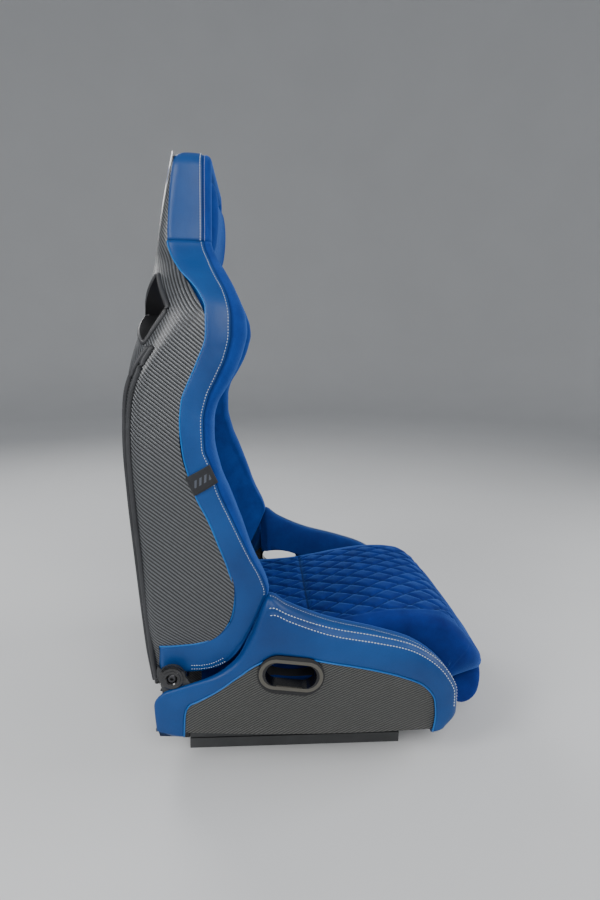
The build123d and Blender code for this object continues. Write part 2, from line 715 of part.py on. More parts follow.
# Headrest: a crowned cushion inside a wrapped band.
head_half = 112
head_top = 952
head_bottom = 800
crown = ((-158, 812), (-140, 845), (-136, 900), (-140, 940), (-156, head_top))
crown_face = outline((False, ((-300, head_top), (-300, head_bottom), (-158, head_bottom),
                              crown[0])), (True, crown), (False, (crown[-1], (-300, head_top))))
with BuildPart() as headrest_pad:
    add(filling)
    add(right_slab(crown_face, -head_half, head_half), mode=Mode.INTERSECT)
save(headrest_pad.part, "headrest_pad")

band_face = outline((False, ((-300, 845.4), (-300, 979), (-186, 979), (-165, 970), (-156, 955),
                             (-155, 845.4), (-300, 845.4))))
band_hole = head_half + gap
with BuildPart() as headrest_band:
    with BuildPart(mode=Mode.PRIVATE) as band_skin:
        add(leather)
        add(right_slab(band_face, -200, 200), mode=Mode.INTERSECT)
        add(right_slab(shell_clearance, -200, 200), mode=Mode.SUBTRACT)
    with BuildPart(mode=Mode.PRIVATE) as band_core:
        add(filling)
        add(right_slab(band_face, -200, 200), mode=Mode.INTERSECT)
    add(band_skin.part)
    add(band_core.part)
    with Locations((-150, 0, (head_top + gap + 780) / 2)):
        Box(300, 2 * band_hole, head_top + gap - 780, mode=Mode.SUBTRACT)
save(headrest_band.part, "headrest_band")

# ---------------------------------------------------------------- harness bezels
with BuildPart() as harness_bezel:
    add(harness_diamond(1, 80))
    add(harness_diamond(0.91, 90), mode=Mode.SUBTRACT)
    add(back_body(-1.5), mode=Mode.INTERSECT)
    add(torso_space.part, mode=Mode.SUBTRACT)
save_pair(harness_bezel.part, "harness_bezel")


# ---------------------------------------------------------------- edge trim
# Two rubber beads down each rear corner; turn is the bead's place round the corner.
def corner_point(station, turn):
    height, rear, half, corner = station
    return (rear + corner * (1 - cos(radians(turn))), -(half - corner * (1 - sin(radians(turn)))),
            height)


bead_radius = 4.5
trim_stations = [station for station in back_stations if station[0] < 690]
beads = []
for turn in (12, 48):
    with BuildPart() as bead:
        with BuildLine() as bead_path:
            Spline(*[corner_point(station, turn) for station in trim_stations])
        with BuildSketch(Plane(origin=bead_path.wire() @ 0, z_dir=bead_path.wire() % 0)):
            Circle(bead_radius)
        sweep()
        add(skin, mode=Mode.SUBTRACT)
        add(hub_room, mode=Mode.SUBTRACT)
    beads.append(bead.part)
save_group(beads, "shell_edge_trim")

# ---------------------------------------------------------------- side tag
with BuildPart() as side_tag:
    add(right_slab(outline((False, ((-178, 490), (-144, 512), (-132, 483), (-164, 461),
                                    (-178, 490)))), 200, 300))
    add(back_body(-1.2), mode=Mode.INTERSECT)
    add(back_body(0), mode=Mode.SUBTRACT)
save(side_tag.part, "side_tag")
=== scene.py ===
import bmesh
import bpy
from math import cos, exp, pi, radians, sin, sqrt
from mathutils import Matrix, Vector, noise


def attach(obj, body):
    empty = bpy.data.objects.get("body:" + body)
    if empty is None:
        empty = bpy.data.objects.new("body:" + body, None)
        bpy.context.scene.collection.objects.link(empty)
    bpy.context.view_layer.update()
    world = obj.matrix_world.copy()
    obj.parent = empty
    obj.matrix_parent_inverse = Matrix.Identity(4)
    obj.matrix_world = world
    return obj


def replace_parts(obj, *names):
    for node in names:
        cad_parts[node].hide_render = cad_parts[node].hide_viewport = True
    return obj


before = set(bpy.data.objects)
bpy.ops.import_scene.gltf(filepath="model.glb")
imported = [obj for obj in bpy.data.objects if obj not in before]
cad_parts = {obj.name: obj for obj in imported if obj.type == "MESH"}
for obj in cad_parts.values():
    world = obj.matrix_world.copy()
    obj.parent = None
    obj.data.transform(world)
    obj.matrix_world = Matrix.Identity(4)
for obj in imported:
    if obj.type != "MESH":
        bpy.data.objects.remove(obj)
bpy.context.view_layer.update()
mm = 0.001


# Smooth value at a place along given keys (place, value), held flat past the ends.
def smoothAt(keys, at):
    if at <= keys[0][0]:
        return keys[0][1]
    if at >= keys[-1][0]:
        return keys[-1][1]
    low = next(n for n in range(len(keys) - 1) if keys[n + 1][0] > at)
    high = low + 1
    span = keys[high][0] - keys[low][0]
    slope = (keys[high][1] - keys[low][1]) / span

    def endSlope(near, far, inner):
        if far < 0 or far >= len(keys):
            return slope
        other = (keys[near][1] - keys[far][1]) / (keys[near][0] - keys[far][0])
        if other * slope <= 0:
            return 0.0
        return 2 * other * slope / (other + slope)

    startSlope = endSlope(low, low - 1, high)
    finishSlope = endSlope(high, high + 1, low)
    t = (at - keys[low][0]) / span
    return (keys[low][1] * (1 + 2 * t) * (1 - t) ** 2 + startSlope * span * t * (1 - t) ** 2
            + keys[high][1] * t * t * (3 - 2 * t) + finishSlope * span * t * t * (t - 1))


def mixed(a, b, t):
    return a + (b - a) * t


def eased(t):
    t = min(1.0, max(0.0, t))
    return t * t * (3 - 2 * t)


# Hollow beside a line: 1 on the line, and nearly nothing past twice the width.
def hollow(away, width):
    return exp(-(away / width) ** 2)


# Puff between two seams, 0 at both and 1 halfway.
def puffed(share):
    return sqrt(max(0.0, sin(pi * share)))


# Points of a smooth line through given places.
def lineThrough(places, steps=8):
    result = []
    for index in range(len(places) - 1):
        a = Vector(places[max(0, index - 1)])
        b, c = Vector(places[index]), Vector(places[index + 1])
        d = Vector(places[min(len(places) - 1, index + 2)])
        for n in range(steps):
            t = n / steps
            result.append(tuple(0.5 * ((2 * b) + (c - a) * t + (2 * a - 5 * b + 4 * c - d) * t * t
                                       + (3 * b - a - 3 * c + d) * t ** 3)))
    result.append(tuple(places[-1]))
    return result


# Points evenly spaced along a run of points.
def evenPoints(points, step):
    lengths = [0.0]
    for before, after in zip(points, points[1:]):
        lengths.append(lengths[-1] + (after - before).length)
    count = max(2, int(round(lengths[-1] / step)))
    result = []
    index = 0
    for number in range(count + 1):
        target = lengths[-1] * number / count
        while index < len(points) - 2 and lengths[index + 1] < target:
            index += 1
        span = lengths[index + 1] - lengths[index]
        t = (target - lengths[index]) / span if span else 0
        result.append(points[index].lerp(points[index + 1], t))
    return result


def newPiece(name, bm, materials, smooth=True):
    mesh = bpy.data.meshes.new(name)
    bm.to_mesh(mesh)
    bm.free()
    if smooth:
        mesh.shade_smooth()
    piece = bpy.data.objects.new(name, mesh)
    bpy.context.collection.objects.link(piece)
    for material in materials:
        mesh.materials.append(material)
    return piece


# Grid bent onto rows of points (millimetres), one row for each step along the piece.
# A closed grid joins round on itself, and a filled one has its two ends shut.
def formFrom(rows, closed=False, filled=False, bm=None, marks=None, laid=None):
    bm = bm or bmesh.new()
    around, along = len(rows[0]) - 1, len(rows) - 1
    sewn = bm.verts.layers.float.get("sewn") or bm.verts.layers.float.new("sewn")
    lay = bm.verts.layers.float_vector.get("lay") or bm.verts.layers.float_vector.new("lay")
    made = bmesh.ops.create_grid(bm, x_segments=around, y_segments=along, size=0.5)
    for vert in made["verts"]:
        column = int(round((vert.co.x + 0.5) * around))
        row = int(round((vert.co.y + 0.5) * along))
        vert.co = Vector(rows[row][column]) * mm
        if marks:
            vert[sewn] = marks[row][column]
        vert[lay] = laid[row][column] if laid else (column / around, row / along, 0)
    if closed:
        rim = [vert for vert in made["verts"] if vert.is_boundary]
        bmesh.ops.remove_doubles(bm, verts=rim, dist=2e-6)
    if filled:
        bmesh.ops.holes_fill(bm, edges=[edge for edge in bm.edges if edge.is_boundary], sides=0)
    bmesh.ops.recalc_face_normals(bm, faces=bm.faces)
    if filled and bm.calc_volume(signed=True) < 0:
        bmesh.ops.reverse_faces(bm, faces=bm.faces)
    return bm


# Faces past a column of the grid take the piece's second material.
def secondMaterialFrom(bm, columns, start):
    lay = bm.verts.layers.float_vector["lay"]
    for face in bm.faces:
        place = sum(vert[lay].x for vert in face.verts) / len(face.verts) * columns
        face.material_index = 1 if place > start else 0


# Round cord or bead along points in millimetres.
def cordForm(points, radius, sides=8, looped=False, bm=None):
    count = len(points)
    rows = []
    for index, point in enumerate(points):
        before = points[(index - 1) % count if looped else max(0, index - 1)]
        after = points[(index + 1) % count if looped else min(count - 1, index + 1)]
        along = (after - before).normalized()
        across = along.cross(Vector((0.31, 0.11, 0.94)) if abs(along.z) < 0.9
                             else Vector((0.94, 0.2, 0.1))).normalized()
        out = along.cross(across)
        rows.append([point + (across * cos(2 * pi * n / sides) + out * sin(2 * pi * n / sides)) * radius
                     for n in range(sides + 1)])
    if looped:
        rows.append(rows[0])
    other = formFrom(rows, closed=True, filled=not looped)
    if bm is None:
        return other
    spare = bpy.data.meshes.new("spare")
    other.to_mesh(spare)
    other.free()
    bm.from_mesh(spare)
    bpy.data.meshes.remove(spare)
    return bm


# Stitches in millimetres: pitch, length and half thickness.
stitches = {"bandBold": (4.2, 3.3, 0.8), "bandFine": (3.4, 2.0, 0.4), "cross": (3.6, 2.6, 0.5),
            "baseBold": (5.4, 4.2, 0.95), "crest": (4.4, 2.8, 0.5), "wingFront": (4.4, 3.0, 0.6),
            "hinge": (4.0, 2.8, 0.6)}


def sideways(point):
    return Vector((0, -1, 0))


# Row of stitches along points in millimetres, standing on the side that facing gives.
def stitchRow(bm, points, facing, kind):
    pitch, length, thick = stitches[kind]
    places = evenPoints(points, pitch)
    for before, after in zip(places, places[1:]):
        middle = (before + after) / 2
        along = (after - before).normalized()
        up = facing(middle)
        up = (up - along * up.dot(along)).normalized()
        turn = Matrix((along, up.cross(along), up)).transposed().to_4x4()
        size = Matrix.Diagonal((length / 2 * mm, thick * mm, thick * mm, 1))
        where = Matrix.Translation((middle + up * thick * 0.35) * mm)
        bmesh.ops.create_icosphere(bm, subdivisions=1, radius=1, matrix=where @ turn @ size)
    return bm


def mirrored(piece, name):
    mesh = piece.data.copy()
    mesh.name = name
    bm = bmesh.new()
    bm.from_mesh(mesh)
    bmesh.ops.scale(bm, vec=(1, -1, 1), verts=bm.verts)
    bmesh.ops.reverse_faces(bm, faces=bm.faces)
    bm.to_mesh(mesh)
    bm.free()
    other = bpy.data.objects.new(name, mesh)
    bpy.context.collection.objects.link(other)
    return other


# Cuts a closed piece with another closed piece and keeps the result as its mesh.
def cutBy(piece, cutter, folded=False):
    cut = piece.modifiers.new("cut", "BOOLEAN")
    cut.operation = "DIFFERENCE"
    cut.solver = "EXACT"
    cut.use_self = folded
    cut.object = cutter
    bpy.context.view_layer.update()
    graph = bpy.context.evaluated_depsgraph_get()
    mesh = bpy.data.meshes.new_from_object(piece.evaluated_get(graph))
    piece.modifiers.clear()
    piece.data = mesh
    bpy.data.objects.remove(cutter)
    return piece


# Gives a piece its body and the frame parts it stands for, which it hides.
def settle(piece, body, nodes=()):
    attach(piece, body)
    if nodes:
        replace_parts(piece, *nodes)
    return piece


def settlePair(piece, body, node=None):
    name = piece.name.replace("Right", "Left")
    other = mirrored(piece, name)
    settle(piece, body, (node + "_right",) if node else ())
    settle(other, body, (node + "_left",) if node else ())
    return other


# Slack of real cloth: a few slow hollows and faint wrinkles, in millimetres.
def slack(x, y, z, amount=0.5, size=38.0):
    place = Vector((x / size, y / size, z / size))
    return amount * (noise.noise(place) + 0.5 * noise.noise(place * 2.7))


class Recipe:
    def __init__(self, name):
        self.material = bpy.data.materials.new(name)
        self.material.use_nodes = True
        self.tree = self.material.node_tree
        self.shader = self.tree.nodes["Principled BSDF"]

    def node(self, kind, settings=None, **inputs):
        made = self.tree.nodes.new(kind)
        for key, value in (settings or {}).items():
            setattr(made, key, value)
        for key, value in inputs.items():
            self.feed(made.inputs[key.replace("_", " ")], value)
        return made

    def feed(self, socket, value):
        if isinstance(value, bpy.types.NodeSocket):
            self.tree.links.new(value, socket)
        else:
            socket.default_value = value

    def sum(self, operation, first, second=0.0, third=0.0):
        made = self.tree.nodes.new("ShaderNodeMath")
        made.operation = operation
        for socket, value in zip(made.inputs, (first, second, third)):
            self.feed(socket, value)
        return made.outputs[0]

    def times(self, first, second):
        return self.sum("MULTIPLY", first, second)

    def plus(self, first, second):
        return self.sum("ADD", first, second)

    def coords(self, scale=(1, 1, 1), turn=(0, 0, 0)):
        source = self.node("ShaderNodeTexCoord").outputs["Object"]
        mapping = self.node("ShaderNodeMapping", Vector=source, Scale=scale, Rotation=turn)
        return mapping.outputs[0]

    def attribute(self, name, output="Fac"):
        return self.node("ShaderNodeAttribute", {"attribute_name": name}).outputs[output]

    def noise(self, vector, scale, detail=3.0, roughness=0.5):
        made = self.node("ShaderNodeTexNoise", Vector=vector, Scale=scale, Detail=detail,
                         Roughness=roughness)
        return made.outputs["Fac"]

    def ramp(self, factor, stops):
        made = self.node("ShaderNodeValToRGB", Fac=factor)
        band = made.color_ramp
        while len(band.elements) < len(stops):
            band.elements.new(0.5)
        for element, (place, colour) in zip(band.elements, stops):
            element.position = place
            element.color = (*colour, 1)
        return made.outputs["Color"]

    def mix(self, factor, first, second, blend="MIX"):
        made = self.node("ShaderNodeMix", {"data_type": "RGBA", "blend_type": blend})
        self.feed(made.inputs[0], factor)
        for socket, value in ((made.inputs[6], first), (made.inputs[7], second)):
            self.feed(socket, (*value, 1) if isinstance(value, tuple) else value)
        return made.outputs[2]

    def bump(self, height, strength, distance, over=None):
        made = self.node("ShaderNodeBump", Height=height, Strength=strength, Distance=distance)
        if over is not None:
            self.feed(made.inputs["Normal"], over)
        return made.outputs[0]

    def spread(self, factor, low, high):
        made = self.node("ShaderNodeMapRange", Value=factor, To_Min=low, To_Max=high)
        return made.outputs[0]

    def finish(self, normal=None, **values):
        if normal is not None:
            self.feed(self.shader.inputs["Normal"], normal)
        for key, value in values.items():
            self.feed(self.shader.inputs[key.replace("_", " ")], value)
        return self.material


# Smooth hide: soft cloudy colour, fine pebble grain, and slack creases that catch light.
def leatherFinish(name, deep, bright, roughness=0.42):
    r = Recipe(name)
    place = r.coords()
    cloud = r.noise(place, 9.0, 4.0)
    grain = r.node("ShaderNodeTexVoronoi", {"feature": "DISTANCE_TO_EDGE"}, Vector=place,
                   Scale=620.0).outputs["Distance"]
    pore = r.noise(place, 1400.0, 2.0)
    colour = r.ramp(cloud, ((0.3, deep), (0.72, bright)))
    speck = r.ramp(grain, ((0.0, (0.72, 0.72, 0.72)), (0.12, (1, 1, 1))))
    colour = r.mix(0.55, colour, r.mix(1.0, colour, speck, "MULTIPLY"))
    pebble = r.bump(r.sum("MINIMUM", grain, 0.22), 0.35, 0.0006)
    fine = r.bump(pore, 0.12, 0.0004, pebble)
    soft = r.bump(r.noise(place, 46.0, 3.0), 0.2, 0.0022, fine)
    rough = r.spread(cloud, roughness - 0.05, roughness + 0.09)
    return r.finish(soft, Base_Color=colour, Roughness=rough, Specular_IOR_Level=0.4)


# Napped suede cloth: nap that shades in patches, pile fibres, and painted shade darkening the sunken
# sewn channels.
def suedeFinish(name, deep, bright):
    r = Recipe(name)
    place = r.coords()
    patch = r.noise(place, 22.0, 5.0, 0.62)
    pile = r.noise(r.coords((1, 1.6, 1)), 900.0, 3.0, 0.7)
    colour = r.ramp(patch, ((0.28, deep), (0.74, bright)))
    fibre = r.ramp(pile, ((0.3, (0.6, 0.62, 0.68)), (0.7, (1, 1, 1))))
    colour = r.mix(0.7, colour, r.mix(1.0, colour, fibre, "MULTIPLY"))
    # Painted shade: colour pulled towards near black along the sewn marks, where the channels sink.
    colour = r.mix(r.times(r.attribute("sewn"), 0.75), colour, tuple(v * 0.22 for v in deep))
    nap = r.bump(pile, 0.35, 0.0008)
    nap = r.bump(patch, 0.25, 0.0016, nap)
    return r.finish(nap, Base_Color=colour, Roughness=0.86, Sheen_Weight=0.55,
                    Sheen_Roughness=0.42, Sheen_Tint=(0.12, 0.32, 0.9, 1),
                    Specular_IOR_Level=0.22)


# Twill laminate: slanting tow ribs with staggered crossings under a satin lacquer.
# slope is the run of the ribs, pitch their spacing in metres, bend how they curl forwards.
def twillFinish(name, pitch, slope, dark, light, bend=0.0):
    r = Recipe(name)
    source = r.coords()
    split = r.node("ShaderNodeSeparateXYZ", Vector=source)
    along = r.plus(split.outputs["X"], r.sum("ABSOLUTE", split.outputs["Y"]))
    rise = split.outputs["Z"]
    across = r.plus(r.times(along, sin(slope)), r.times(r.times(along, along), bend))
    ribCount = r.sum("DIVIDE", r.plus(across, r.times(rise, cos(slope))), pitch)
    wave = r.sum("SINE", r.times(ribCount, 2 * pi))
    run = r.sum("SUBTRACT", r.times(along, cos(slope)), r.times(rise, sin(slope)))
    shifted = r.plus(r.sum("DIVIDE", run, pitch * 0.62), r.times(ribCount, 0.5))
    cross = r.sum("SINE", r.times(shifted, 2 * pi))
    tow = r.spread(wave, 0.0, 1.0)
    tow.node.inputs["From Min"].default_value = -1.0
    fibre = r.noise(r.coords(turn=(0, slope, 0)), 260.0, 4.0, 0.7)
    cloud = r.noise(source, 7.0, 3.0)
    relief = r.plus(r.times(wave, 0.5), r.times(cross, 0.1))
    colour = r.ramp(tow, ((0.18, dark), (0.62, light), (0.95, tuple(v * 1.25 for v in light))))
    shade = r.ramp(fibre, ((0.3, (0.55, 0.55, 0.56)), (0.7, (1.0, 1.0, 1.0))))
    colour = r.mix(0.6, colour, r.mix(1.0, colour, shade, "MULTIPLY"))
    colour = r.mix(r.spread(cross, 0.0, 0.25), colour, dark)
    normal = r.bump(relief, 0.55, 0.0011)
    normal = r.bump(fibre, 0.08, 0.0003, normal)
    rough = r.plus(r.spread(cloud, 0.24, 0.36), r.times(fibre, 0.1))
    return r.finish(normal, Base_Color=colour, Roughness=rough, Specular_IOR_Level=0.62,
                    Metallic=0.25, Coat_Weight=0.35, Coat_Roughness=0.22)


# Powder or e-coat on pressed steel: orange peel, rubbed edges and lighter patches at random.
def coatedFinish(name, colour, roughness, metallic=0.0, peel=320.0, strength=0.12):
    r = Recipe(name)
    place = r.coords()
    wear = r.noise(place, 34.0, 6.0, 0.7)
    rough = r.spread(r.noise(place, 90.0, 4.0), roughness - 0.08, roughness + 0.12)
    light = tuple(min(1.0, value * 1.9 + 0.01) for value in colour)
    tone = r.ramp(wear, ((0.35, colour), (0.78, light)))
    edge = r.node("ShaderNodeNewGeometry").outputs["Pointiness"]
    rub = r.ramp(edge, ((0.52, (0, 0, 0)), (0.62, (1, 1, 1))))
    tone = r.mix(r.times(rub, 0.35), tone, tuple(min(1.0, v * 3 + 0.06) for v in colour))
    normal = r.bump(r.noise(place, peel, 2.0), strength, 0.0004)
    return r.finish(normal, Base_Color=tone, Roughness=rough, Metallic=metallic)


# Plated or turned metal: fine drawn lines and a mottled passivation tint.
def platedFinish(name, colour, tint, roughness=0.28):
    r = Recipe(name)
    place = r.coords()
    mottle = r.noise(place, 60.0, 4.0)
    lines = r.noise(r.coords((1, 14, 1)), 420.0, 2.0)
    tone = r.ramp(mottle, ((0.3, colour), (0.75, tint)))
    rough = r.spread(lines, roughness - 0.08, roughness + 0.14)
    return r.finish(r.bump(lines, 0.12, 0.0002), Base_Color=tone, Roughness=rough, Metallic=1.0)


# Moulded plastic or rubber: fine spark texture and handling shine.
def mouldedFinish(name, colour, roughness, grain=700.0, depth=0.2, coat=0.0):
    r = Recipe(name)
    place = r.coords()
    patch = r.noise(place, 28.0, 4.0)
    lifted = tuple(min(1.0, value * 1.5 + 0.004) for value in colour)
    tone = r.ramp(patch, ((0.3, colour), (0.75, lifted)))
    rough = r.spread(patch, roughness - 0.07, roughness + 0.1)
    normal = r.bump(r.noise(place, grain, 2.0), depth, 0.0003)
    return r.finish(normal, Base_Color=tone, Roughness=rough, Coat_Weight=coat,
                    Coat_Roughness=0.12)


# Twisted sewing thread.
def threadFinish(name, colour, shade):
    r = Recipe(name)
    twist = r.node("ShaderNodeTexWave", {"bands_direction": "DIAGONAL"}, Vector=r.coords(),
                   Scale=900.0, Distortion=1.5).outputs["Fac"]
    tone = r.ramp(twist, ((0.1, shade), (0.7, colour)))
    return r.finish(r.bump(twist, 0.4, 0.0002), Base_Color=tone, Roughness=0.6, Sheen_Weight=0.2)


# Woven ribbon with a plain border and a plain slanting block figure.
def ribbonFinish(name, ground, figure):
    r = Recipe(name)
    split = r.node("ShaderNodeSeparateXYZ", Vector=r.attribute("lay", "Vector"))
    across, along = split.outputs["X"], split.outputs["Y"]
    weave = r.times(r.sum("SINE", r.times(along, 260.0)), r.sum("SINE", r.times(across, 260.0)))
    slant = r.plus(r.times(across, 5.0), r.times(along, 2.0))
    blocks = r.sum("GREATER_THAN", r.sum("SINE", r.times(slant, 2 * pi)), 0.1)
    middle = r.sum("LESS_THAN", r.sum("ABSOLUTE", r.sum("SUBTRACT", along, 0.5)), 0.17)
    inside = r.sum("LESS_THAN", r.sum("ABSOLUTE", r.sum("SUBTRACT", across, 0.5)), 0.34)
    shown = r.times(r.times(blocks, middle), inside)
    tone = r.mix(r.times(shown, 0.7), ground, figure)
    tone = r.mix(r.spread(weave, 0.0, 0.35), tone, tuple(v * 0.4 for v in ground))
    return r.finish(r.bump(weave, 0.4, 0.0003), Base_Color=tone, Roughness=0.7, Sheen_Weight=0.15)


leather = leatherFinish("blueHide", (0.0005, 0.036, 0.165), (0.001, 0.066, 0.265))
# Edging cord hide: the blue leather painted about twice as light, a painted highlight for the light the
# round cords catch.
pipingHide = leatherFinish("pipingHide", (0.006, 0.11, 0.38), (0.012, 0.16, 0.5), 0.34)
suede = suedeFinish("blueSuede", (0.0003, 0.011, 0.125), (0.0008, 0.028, 0.24))
wingSuede = suedeFinish("wingSuede", (0.0022, 0.03, 0.2), (0.004, 0.06, 0.32))
innerSuede = suedeFinish("innerSuede", (0.001, 0.016, 0.13), (0.002, 0.034, 0.21))
backTwill = twillFinish("backTwill", 0.0048, radians(38), (0.006, 0.007, 0.008),
                        (0.1, 0.106, 0.115))
baseTwill = twillFinish("baseTwill", 0.0036, radians(-34), (0.009, 0.009, 0.009),
                        (0.085, 0.086, 0.078), 0.25)
railPaint = coatedFinish("railPaint", (0.012, 0.013, 0.014), 0.42)
steelPaint = coatedFinish("steelPaint", (0.008, 0.009, 0.01), 0.34)
zincPlate = platedFinish("zincPlate", (0.62, 0.62, 0.6), (0.5, 0.52, 0.56))
yellowZinc = platedFinish("yellowZinc", (0.7, 0.52, 0.2), (0.62, 0.42, 0.3))
bronzeMetal = platedFinish("bronzeMetal", (0.5, 0.32, 0.13), (0.42, 0.26, 0.1), 0.35)
blackMould = mouldedFinish("blackMould", (0.008, 0.008, 0.009), 0.38)
glossMould = mouldedFinish("glossMould", (0.006, 0.006, 0.007), 0.14, 300.0, 0.03, 0.4)
beadRubber = mouldedFinish("beadRubber", (0.022, 0.023, 0.026), 0.5, 480.0, 0.3)
whiteThread = threadFinish("whiteThread", (0.72, 0.78, 0.86), (0.34, 0.42, 0.55))
darkThread = threadFinish("darkThread", (0.005, 0.03, 0.1), (0.002, 0.012, 0.045))
ribbon = ribbonFinish("wovenRibbon", (0.008, 0.009, 0.013), (0.1, 0.115, 0.15))
linerCloth = mouldedFinish("linerCloth", (0.012, 0.012, 0.014), 0.85, 1600.0, 0.5)

# Belt slot in the base, in metres: its middle and lean, and the grey ring on the surround's face.
beltSlot = {"x": -0.015, "z": 0.172, "lean": radians(7), "straight": 0.0255, "ringOut": 0.0262,
            "ringIn": 0.0205, "face": 0.2622}


# Belt slot surround: grey ring let into a gloss black lip and throat, parted by its reach from
# the slot's middle line.
def bezelFinish():
    r = Recipe("beltBezel")
    place = r.coords()
    middle = r.node("ShaderNodeMapping", {"vector_type": "TEXTURE"}, Vector=place,
                    Location=(beltSlot["x"], 0, beltSlot["z"]), Rotation=(0, beltSlot["lean"], 0))
    split = r.node("ShaderNodeSeparateXYZ", Vector=middle.outputs[0])
    run = r.sum("SUBTRACT", r.sum("ABSOLUTE", split.outputs["X"]), beltSlot["straight"])
    run = r.sum("MAXIMUM", run, 0.0)
    rise = split.outputs["Z"]
    reach = r.sum("SQRT", r.plus(r.times(run, run), r.times(rise, rise)))
    outer = r.sum("LESS_THAN", reach, beltSlot["ringOut"])
    inner = r.sum("GREATER_THAN", reach, beltSlot["ringIn"])
    face = r.sum("GREATER_THAN", r.sum("ABSOLUTE", split.outputs["Y"]), beltSlot["face"])
    ring = r.times(r.times(outer, inner), face)
    tone = r.mix(ring, (0.006, 0.006, 0.007), (0.085, 0.08, 0.066))
    patch = r.noise(place, 40.0, 3.0)
    rough = r.plus(r.times(ring, 0.2), r.spread(patch, 0.12, 0.22))
    normal = r.bump(r.noise(place, 800.0), 0.1, 0.0003)
    return r.finish(normal, Base_Color=tone, Roughness=rough)


beltBezel = bezelFinish()
darkBolt = platedFinish("darkBolt", (0.09, 0.09, 0.095), (0.05, 0.05, 0.055), 0.42)
print("materials ready")

# Camera at the right hand side, a little behind the seat's middle and looking slightly down.
view = {"place": (-0.0719, -1.0705, 0.6942), "yaw": 4.46, "pitch": 10.9, "roll": 1.3, "lens": 22.4}


def makeCamera():
    yaw, pitch, roll = (radians(view[key]) for key in ("yaw", "pitch", "roll"))
    ahead = Vector((sin(yaw) * cos(pitch), cos(yaw) * cos(pitch), -sin(pitch)))
    level = Vector((cos(yaw), -sin(yaw), 0))
    right = level * cos(roll) + level.cross(ahead) * sin(roll)
    up = right.cross(ahead)
    data = bpy.data.cameras.new("seatCamera")
    data.lens = view["lens"]
    data.sensor_width = 36
    camera = bpy.data.objects.new("seatCamera", data)
    camera.matrix_world = (Matrix.Translation(view["place"])
                           @ Matrix((right, up, -ahead)).transposed().to_4x4())
    bpy.context.collection.objects.link(camera)
    bpy.context.scene.camera = camera


# Floor tones, sky, and the lamps: place, what they face, size in metres and power.
studio = {"floor": (0.66, 0.665, 0.67), "floorLight": (0.68, 0.685, 0.69), "sky": 0.45,
          "skyTint": (0.82, 0.86, 0.92, 1),
          "profile": ((0.02, 0), (1.5, 0), (3.2, 0), (4.6, 0), (5.1, 0.05), (5.6, 0.25),
                      (5.95, 0.65), (6.1, 1.2), (6.15, 2.4), (6.15, 9)),
          "lamps": {"keyBox": ((0.35, -2.3, 1.9), (0, 0, 0.45), (1.6, 1.3), 44),
                    "fillBox": ((-1.9, -1.3, 1.7), (-0.15, 0, 0.6), (0.9, 1.2), 36),
                    "rimBox": ((-1.2, 1.7, 1.9), (0, 0, 0.6), (1.0, 1.0), 24),
                    "frontBox": ((2.1, 0.1, 1.3), (0.1, 0, 0.3), (1.2, 1.2), 24)}}


def softBox(name, place, target, size, power):
    data = bpy.data.lights.new(name, "AREA")
    data.shape = "RECTANGLE"
    data.size, data.size_y = size
    data.energy = power
    lamp = bpy.data.objects.new(name, data)
    lamp.location = place
    lamp.rotation_euler = (Vector(target) - Vector(place)).to_track_quat("-Z", "Y").to_euler()
    bpy.context.collection.objects.link(lamp)


def makeStudio():
    # Floor that sweeps up into a round backdrop.
    bm = bmesh.new()
    verts = [bm.verts.new((x, 0, z)) for x, z in studio["profile"]]
    for first, second in zip(verts, verts[1:]):
        bm.edges.new((first, second))
    bmesh.ops.spin(bm, geom=bm.verts[:] + bm.edges[:], axis=(0, 0, 1), cent=(0, 0, 0), angle=2 * pi,
                   steps=64, use_merge=True)
    bmesh.ops.holes_fill(bm, edges=[edge for edge in bm.edges if edge.is_boundary
                                    and max(vert.co.length for vert in edge.verts) < 0.1], sides=0)
    bmesh.ops.recalc_face_normals(bm, faces=bm.faces)
    if sum(face.normal.z for face in bm.faces) < 0:
        bmesh.ops.reverse_faces(bm, faces=bm.faces)
    r = Recipe("studioFloor")
    tone = r.ramp(r.noise(r.coords(), 2.0), ((0.3, studio["floor"]), (0.7, studio["floorLight"])))
    ground = newPiece("studioFloor", bm, [r.finish(Base_Color=tone, Roughness=0.8)])
    for name, lamp in studio["lamps"].items():
        softBox(name, *lamp)
    world = bpy.data.worlds.new("studioSky")
    world.use_nodes = True
    sky = world.node_tree.nodes["Background"]
    sky.inputs["Color"].default_value = studio["skyTint"]
    sky.inputs["Strength"].default_value = studio["sky"]
    bpy.context.scene.world = world


makeCamera()
makeStudio()
print("camera and studio ready")


# Outline of the backrest in millimetres: place up the back, then the value there.
backRear = ((136, -238), (213, -246), (350, -258), (460, -267), (540, -271), (600, -270),
            (650, -266), (700, -257), (740, -250), (790, -242), (820, -237), (845, -233),
            (875, -228), (915, -221), (950, -214), (980, -208))
backHalf = ((136, 228), (213, 240), (350, 242), (460, 241), (540, 240), (600, 238), (650, 237),
            (700, 235), (740, 228), (790, 193), (820, 160), (845, 145), (875, 141), (915, 140),
            (950, 139), (980, 137))
backCorner = ((136, 20), (213, 22), (350, 24), (460, 25), (540, 26), (600, 30), (650, 44),
              (700, 76), (740, 96), (790, 78), (820, 50), (845, 32), (875, 25), (980, 24))
hideEdge = ((161, -224), (212, -223), (214.5, -178), (222, -148), (240, -124), (258, -111),
            (286, -106), (310, -107), (343, -115), (381, -129), (422, -145), (461, -164),
            (496, -175), (527, -182), (572, -186), (605, -183), (630, -174), (660, -161),
            (704, -147), (742, -148), (756, -154), (772, -165), (797, -189), (825, -207),
            (845, -213), (870, -212.5), (920, -209), (960, -204))
